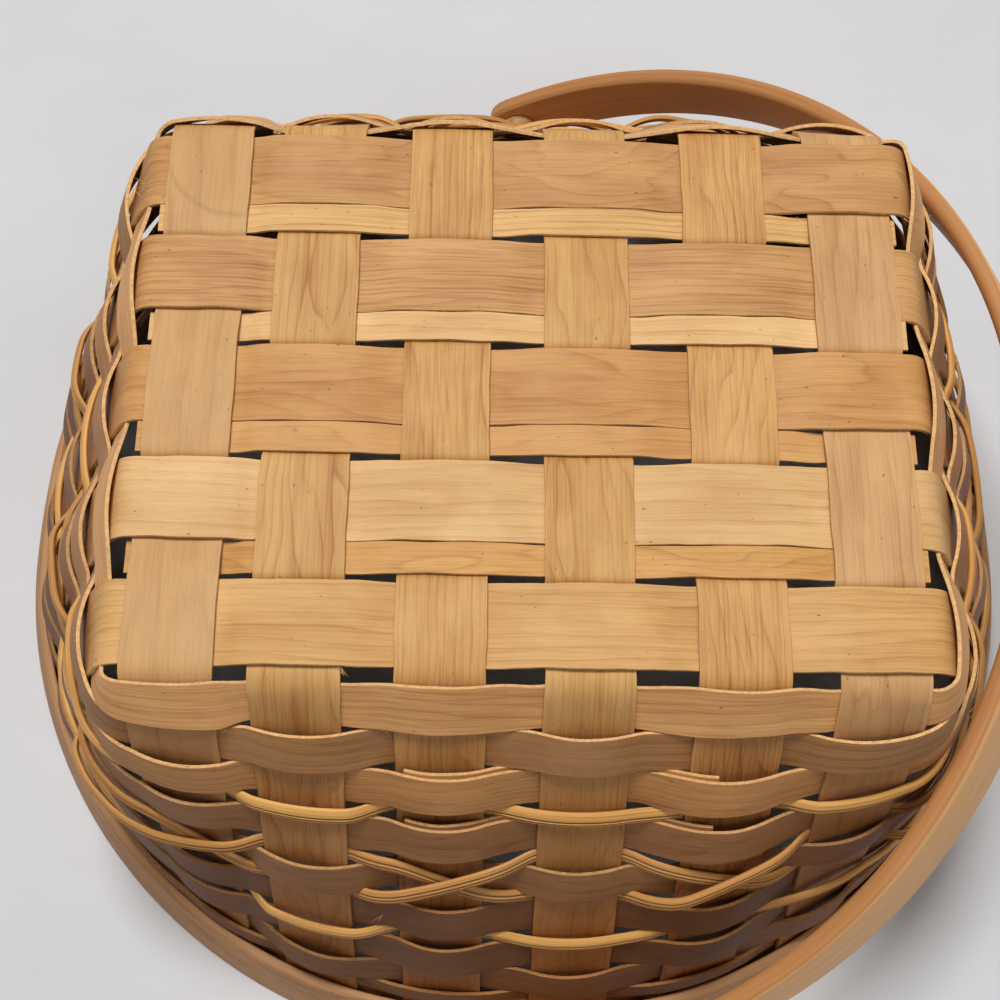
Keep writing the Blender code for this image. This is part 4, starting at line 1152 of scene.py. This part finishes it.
STEEL, SPACER = brushed_steel(), turned_wood()
for name, finish, slot in (
    ("handle_rivet_near", STEEL, "rivet_steel"), ("handle_rivet_far", STEEL, "rivet_steel"),
    ("handle_boss_near", SPACER, "handle_wood"), ("handle_boss_far", SPACER, "handle_wood"),
):
    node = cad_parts[name]
    node.data.materials.clear()
    node.data.materials.append(finish)
print("rivets and spacers finished: 4")

# %% [markdown]
# ## Loose fibres
# Handling has lifted fine fibres from the splints' edges, and a few ends are frayed. Each fibre is a
# thin three-sided hair that tapers and curls. They are all one piece, fixed to the basket.

# %% Raise the fibres
FRAYS = (  # place, direction, how many, length, spread
    ((0.1172, 0.0620, 0.1410), (0.9, -0.3, 0.1), 5, 0.0070, 0.0020),
    ((-0.1172, 0.0640, 0.1410), (-0.9, 0.3, 0.0), 9, 0.0050, 0.0040),
    ((-0.0512, -0.0860, 0.1424), (0.5, -0.8, 0.0), 4, 0.0036, 0.0008),
    ((0.1290, -0.0900, 0.1090), (0.9, 0.2, 0.2), 7, 0.0045, 0.0025),
    ((-0.0418, -0.1440, 0.0720), (-0.6, -0.7, 0.2), 5, 0.0034, 0.0012),
)
EDGE_HAIRS = 420


def raise_fibre(bm, start, ahead, up, length, thick, curl):
    """A hair of wood: three thin sides that taper and curl."""
    side = unit(np.cross(ahead, up))
    up = unit(np.cross(side, ahead))
    rings = []
    for i in range(5):
        t = i / 4
        middle = start + ahead * length * t + up * curl * length * t * t
        radius = thick * (1 - 0.8 * t)
        ways = [side * math.cos(a) + up * math.sin(a) for a in (2 * math.pi * turn / 3 for turn in range(3))]
        rings.append([bm.verts.new(middle + way * radius) for way in ways])
    for ring, after in zip(rings, rings[1:]):
        for i in range(3):
            j = (i + 1) % 3
            bm.faces.new((ring[i], ring[j], after[j], after[i]))
    bm.faces.new(rings[0][::-1])
    bm.faces.new(rings[-1])


def make_fibres():
    pick = random.Random(4)
    bm = bmesh.new()
    for place, ahead, count, length, spread in FRAYS:
        for _ in range(count):
            stray = np.array([pick.uniform(-spread, spread) for _ in range(3)])
            start = np.array(place) + stray * (1, 1, 0.2)
            way = unit(np.array(ahead) + np.array([pick.uniform(-0.4, 0.4) for _ in range(3)]))
            long = length * pick.uniform(0.4, 1.0)
            raise_fibre(bm, start, way, Z_DIR, long, pick.uniform(0.00009, 0.00016), pick.uniform(-0.3, 0.2))
    rows = [EDGE_LINES[f"weaver_row_{number}_splint"] for number in range(1, 9)]
    for _ in range(EDGE_HAIRS):
        tops, bottoms, outs = pick.choice(rows)
        line = tops if pick.random() < 0.75 else bottoms
        at = pick.randrange(1, len(line) - 1)
        along = unit(line[at + 1] - line[at - 1]) * pick.choice((-1, 1))
        away = unit(line[at] - (tops[at] + bottoms[at]) / 2)
        start = line[at] + outs[at] * WEAVER_THICK * pick.uniform(-0.4, 0.5)
        way = unit(along + away * pick.uniform(0.05, 0.6) + outs[at] * pick.uniform(0.0, 0.3))
        long = 0.0008 + 0.0035 * pick.random() ** 2
        raise_fibre(bm, start, way, outs[at], long, pick.uniform(0.00005, 0.00009), pick.uniform(-0.3, 0.6))
    bmesh.ops.recalc_face_normals(bm, faces=bm.faces)
    fibres = put_in_scene("loose_fibres", bm, CUT_WARM)
    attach(fibres, "basket")


make_fibres()
print("fibres raised:", EDGE_HAIRS + sum(fray[2] for fray in FRAYS))

# %% [markdown]
# ## Floor, light and camera
# The basket stands on a pale table under a soft lamp almost overhead, a little behind it, so that the
# floor is bright and the walls fall off into shade. The camera looks down at it from the front, as
# the photograph was taken, with a lens that was fitted to the floor weave.


# %% Table
PALE_ROOM = srgb(218, 218, 216)  # the colour that both the far table and the world show
TABLE_NEAR, TABLE_FAR, TABLE_HALF = 0.55, 1.70, 6.0


def make_table():
    """A pale table that takes the room's colour far away, so that no edge of it shows."""
    n = Nodes("pale table")
    cloud = n.noise(n.scaled(n.place(), (5.0, 9.0, 1.0)), detail=4.0, rough=0.6)
    colour = n.mix(n.ramp(cloud, (0.35, 0.0), (0.75, 1.0)), srgb(217, 217, 219), srgb(210, 210, 212))
    away = n.new("ShaderNodeVectorMath", operation="LENGTH")
    n.feed(n.place(), away.inputs[0])
    share = n.math("DIVIDE", away.outputs["Value"], TABLE_HALF)
    far = n.ramp(share, (TABLE_NEAR / TABLE_HALF, 0.0), (TABLE_FAR / TABLE_HALF, 1.0))
    n.feed(PALE_ROOM, n.shader.inputs["Emission Color"])
    n.feed(far, n.shader.inputs["Emission Strength"])
    finish = n.surface(n.mix(far, colour, dimmed(WHITE, 0.0)), 0.8, 0.0)
    bm = bmesh.new()
    bmesh.ops.create_grid(bm, x_segments=2, y_segments=2, size=TABLE_HALF)
    table = put_in_scene("table", bm, finish)
    table.location = (0.0, 0.0, -0.0002)


make_table()
print("table laid")


# %% Light
def add_lamp(name, place, target, size, power):
    lamp = bpy.data.lights.new(name, "AREA")
    lamp.shape, lamp.size, lamp.energy = "DISK", size, power
    holder = bpy.data.objects.new(name, lamp)
    holder.location = place
    holder.rotation_euler = (Vector(target) - Vector(place)).to_track_quat("-Z", "Y").to_euler()
    bpy.context.scene.collection.objects.link(holder)


def light_the_room():
    """Two lamps, and a plain world that looks pale to the camera but lights the basket only weakly."""
    add_lamp("window", (-0.25, 0.60, 2.30), (0.0, 0.0, 0.08), 0.8, 44.5)
    add_lamp("wall of the room", (0.50, -1.00, 1.40), (0.0, 0.0, 0.08), 0.9, 3.5)
    world = bpy.data.worlds.new("room")
    bpy.context.scene.world = world
    world.use_nodes = True
    tree = world.node_tree
    light, seen = tree.nodes["Background"], tree.nodes.new("ShaderNodeBackground")
    light.inputs["Color"].default_value = (1.0, 0.95, 0.88, 1.0)
    light.inputs["Strength"].default_value = 0.18
    seen.inputs["Color"].default_value = PALE_ROOM
    path, blend = tree.nodes.new("ShaderNodeLightPath"), tree.nodes.new("ShaderNodeMixShader")
    shows = path.outputs["Is Camera Ray"]
    for ray in ("Is Glossy Ray", "Is Transmission Ray"):
        either = tree.nodes.new("ShaderNodeMath")
        either.operation = "MAXIMUM"
        tree.links.new(shows, either.inputs[0])
        tree.links.new(path.outputs[ray], either.inputs[1])
        shows = either.outputs[0]
    for number, out in enumerate((shows, light.outputs[0], seen.outputs[0])):
        tree.links.new(out, blend.inputs[number])
    tree.links.new(blend.outputs[0], tree.nodes["World Output"].inputs["Surface"])


light_the_room()
print("lamps: 2")


# %% Camera
CAMERA_PLACE = (-0.0133, -0.1889, 0.5415)
CAMERA_TURNS = (69.0, 1.97, 2.69)  # degrees down, to the right and about the view
LENS, SENSOR = 54.0, 36.0


def make_camera():
    pitch, yaw, roll = (math.radians(turn) for turn in CAMERA_TURNS)
    forward = Vector((math.sin(yaw) * math.cos(pitch), math.cos(yaw) * math.cos(pitch), -math.sin(pitch)))
    right = Vector((math.cos(yaw), -math.sin(yaw), 0.0))
    up = right.cross(forward)
    right, up = math.cos(roll) * right + math.sin(roll) * up, -math.sin(roll) * right + math.cos(roll) * up
    turn = Matrix((right, up, -forward)).transposed()
    data = bpy.data.cameras.new("camera")
    data.lens, data.sensor_width = LENS, SENSOR
    camera = bpy.data.objects.new("camera", data)
    camera.matrix_world = Matrix.Translation(CAMERA_PLACE) @ turn.to_4x4()
    bpy.context.scene.collection.objects.link(camera)
    bpy.context.scene.camera = camera
    bpy.context.scene.view_settings.view_transform = "Standard"


make_camera()
print("camera set")
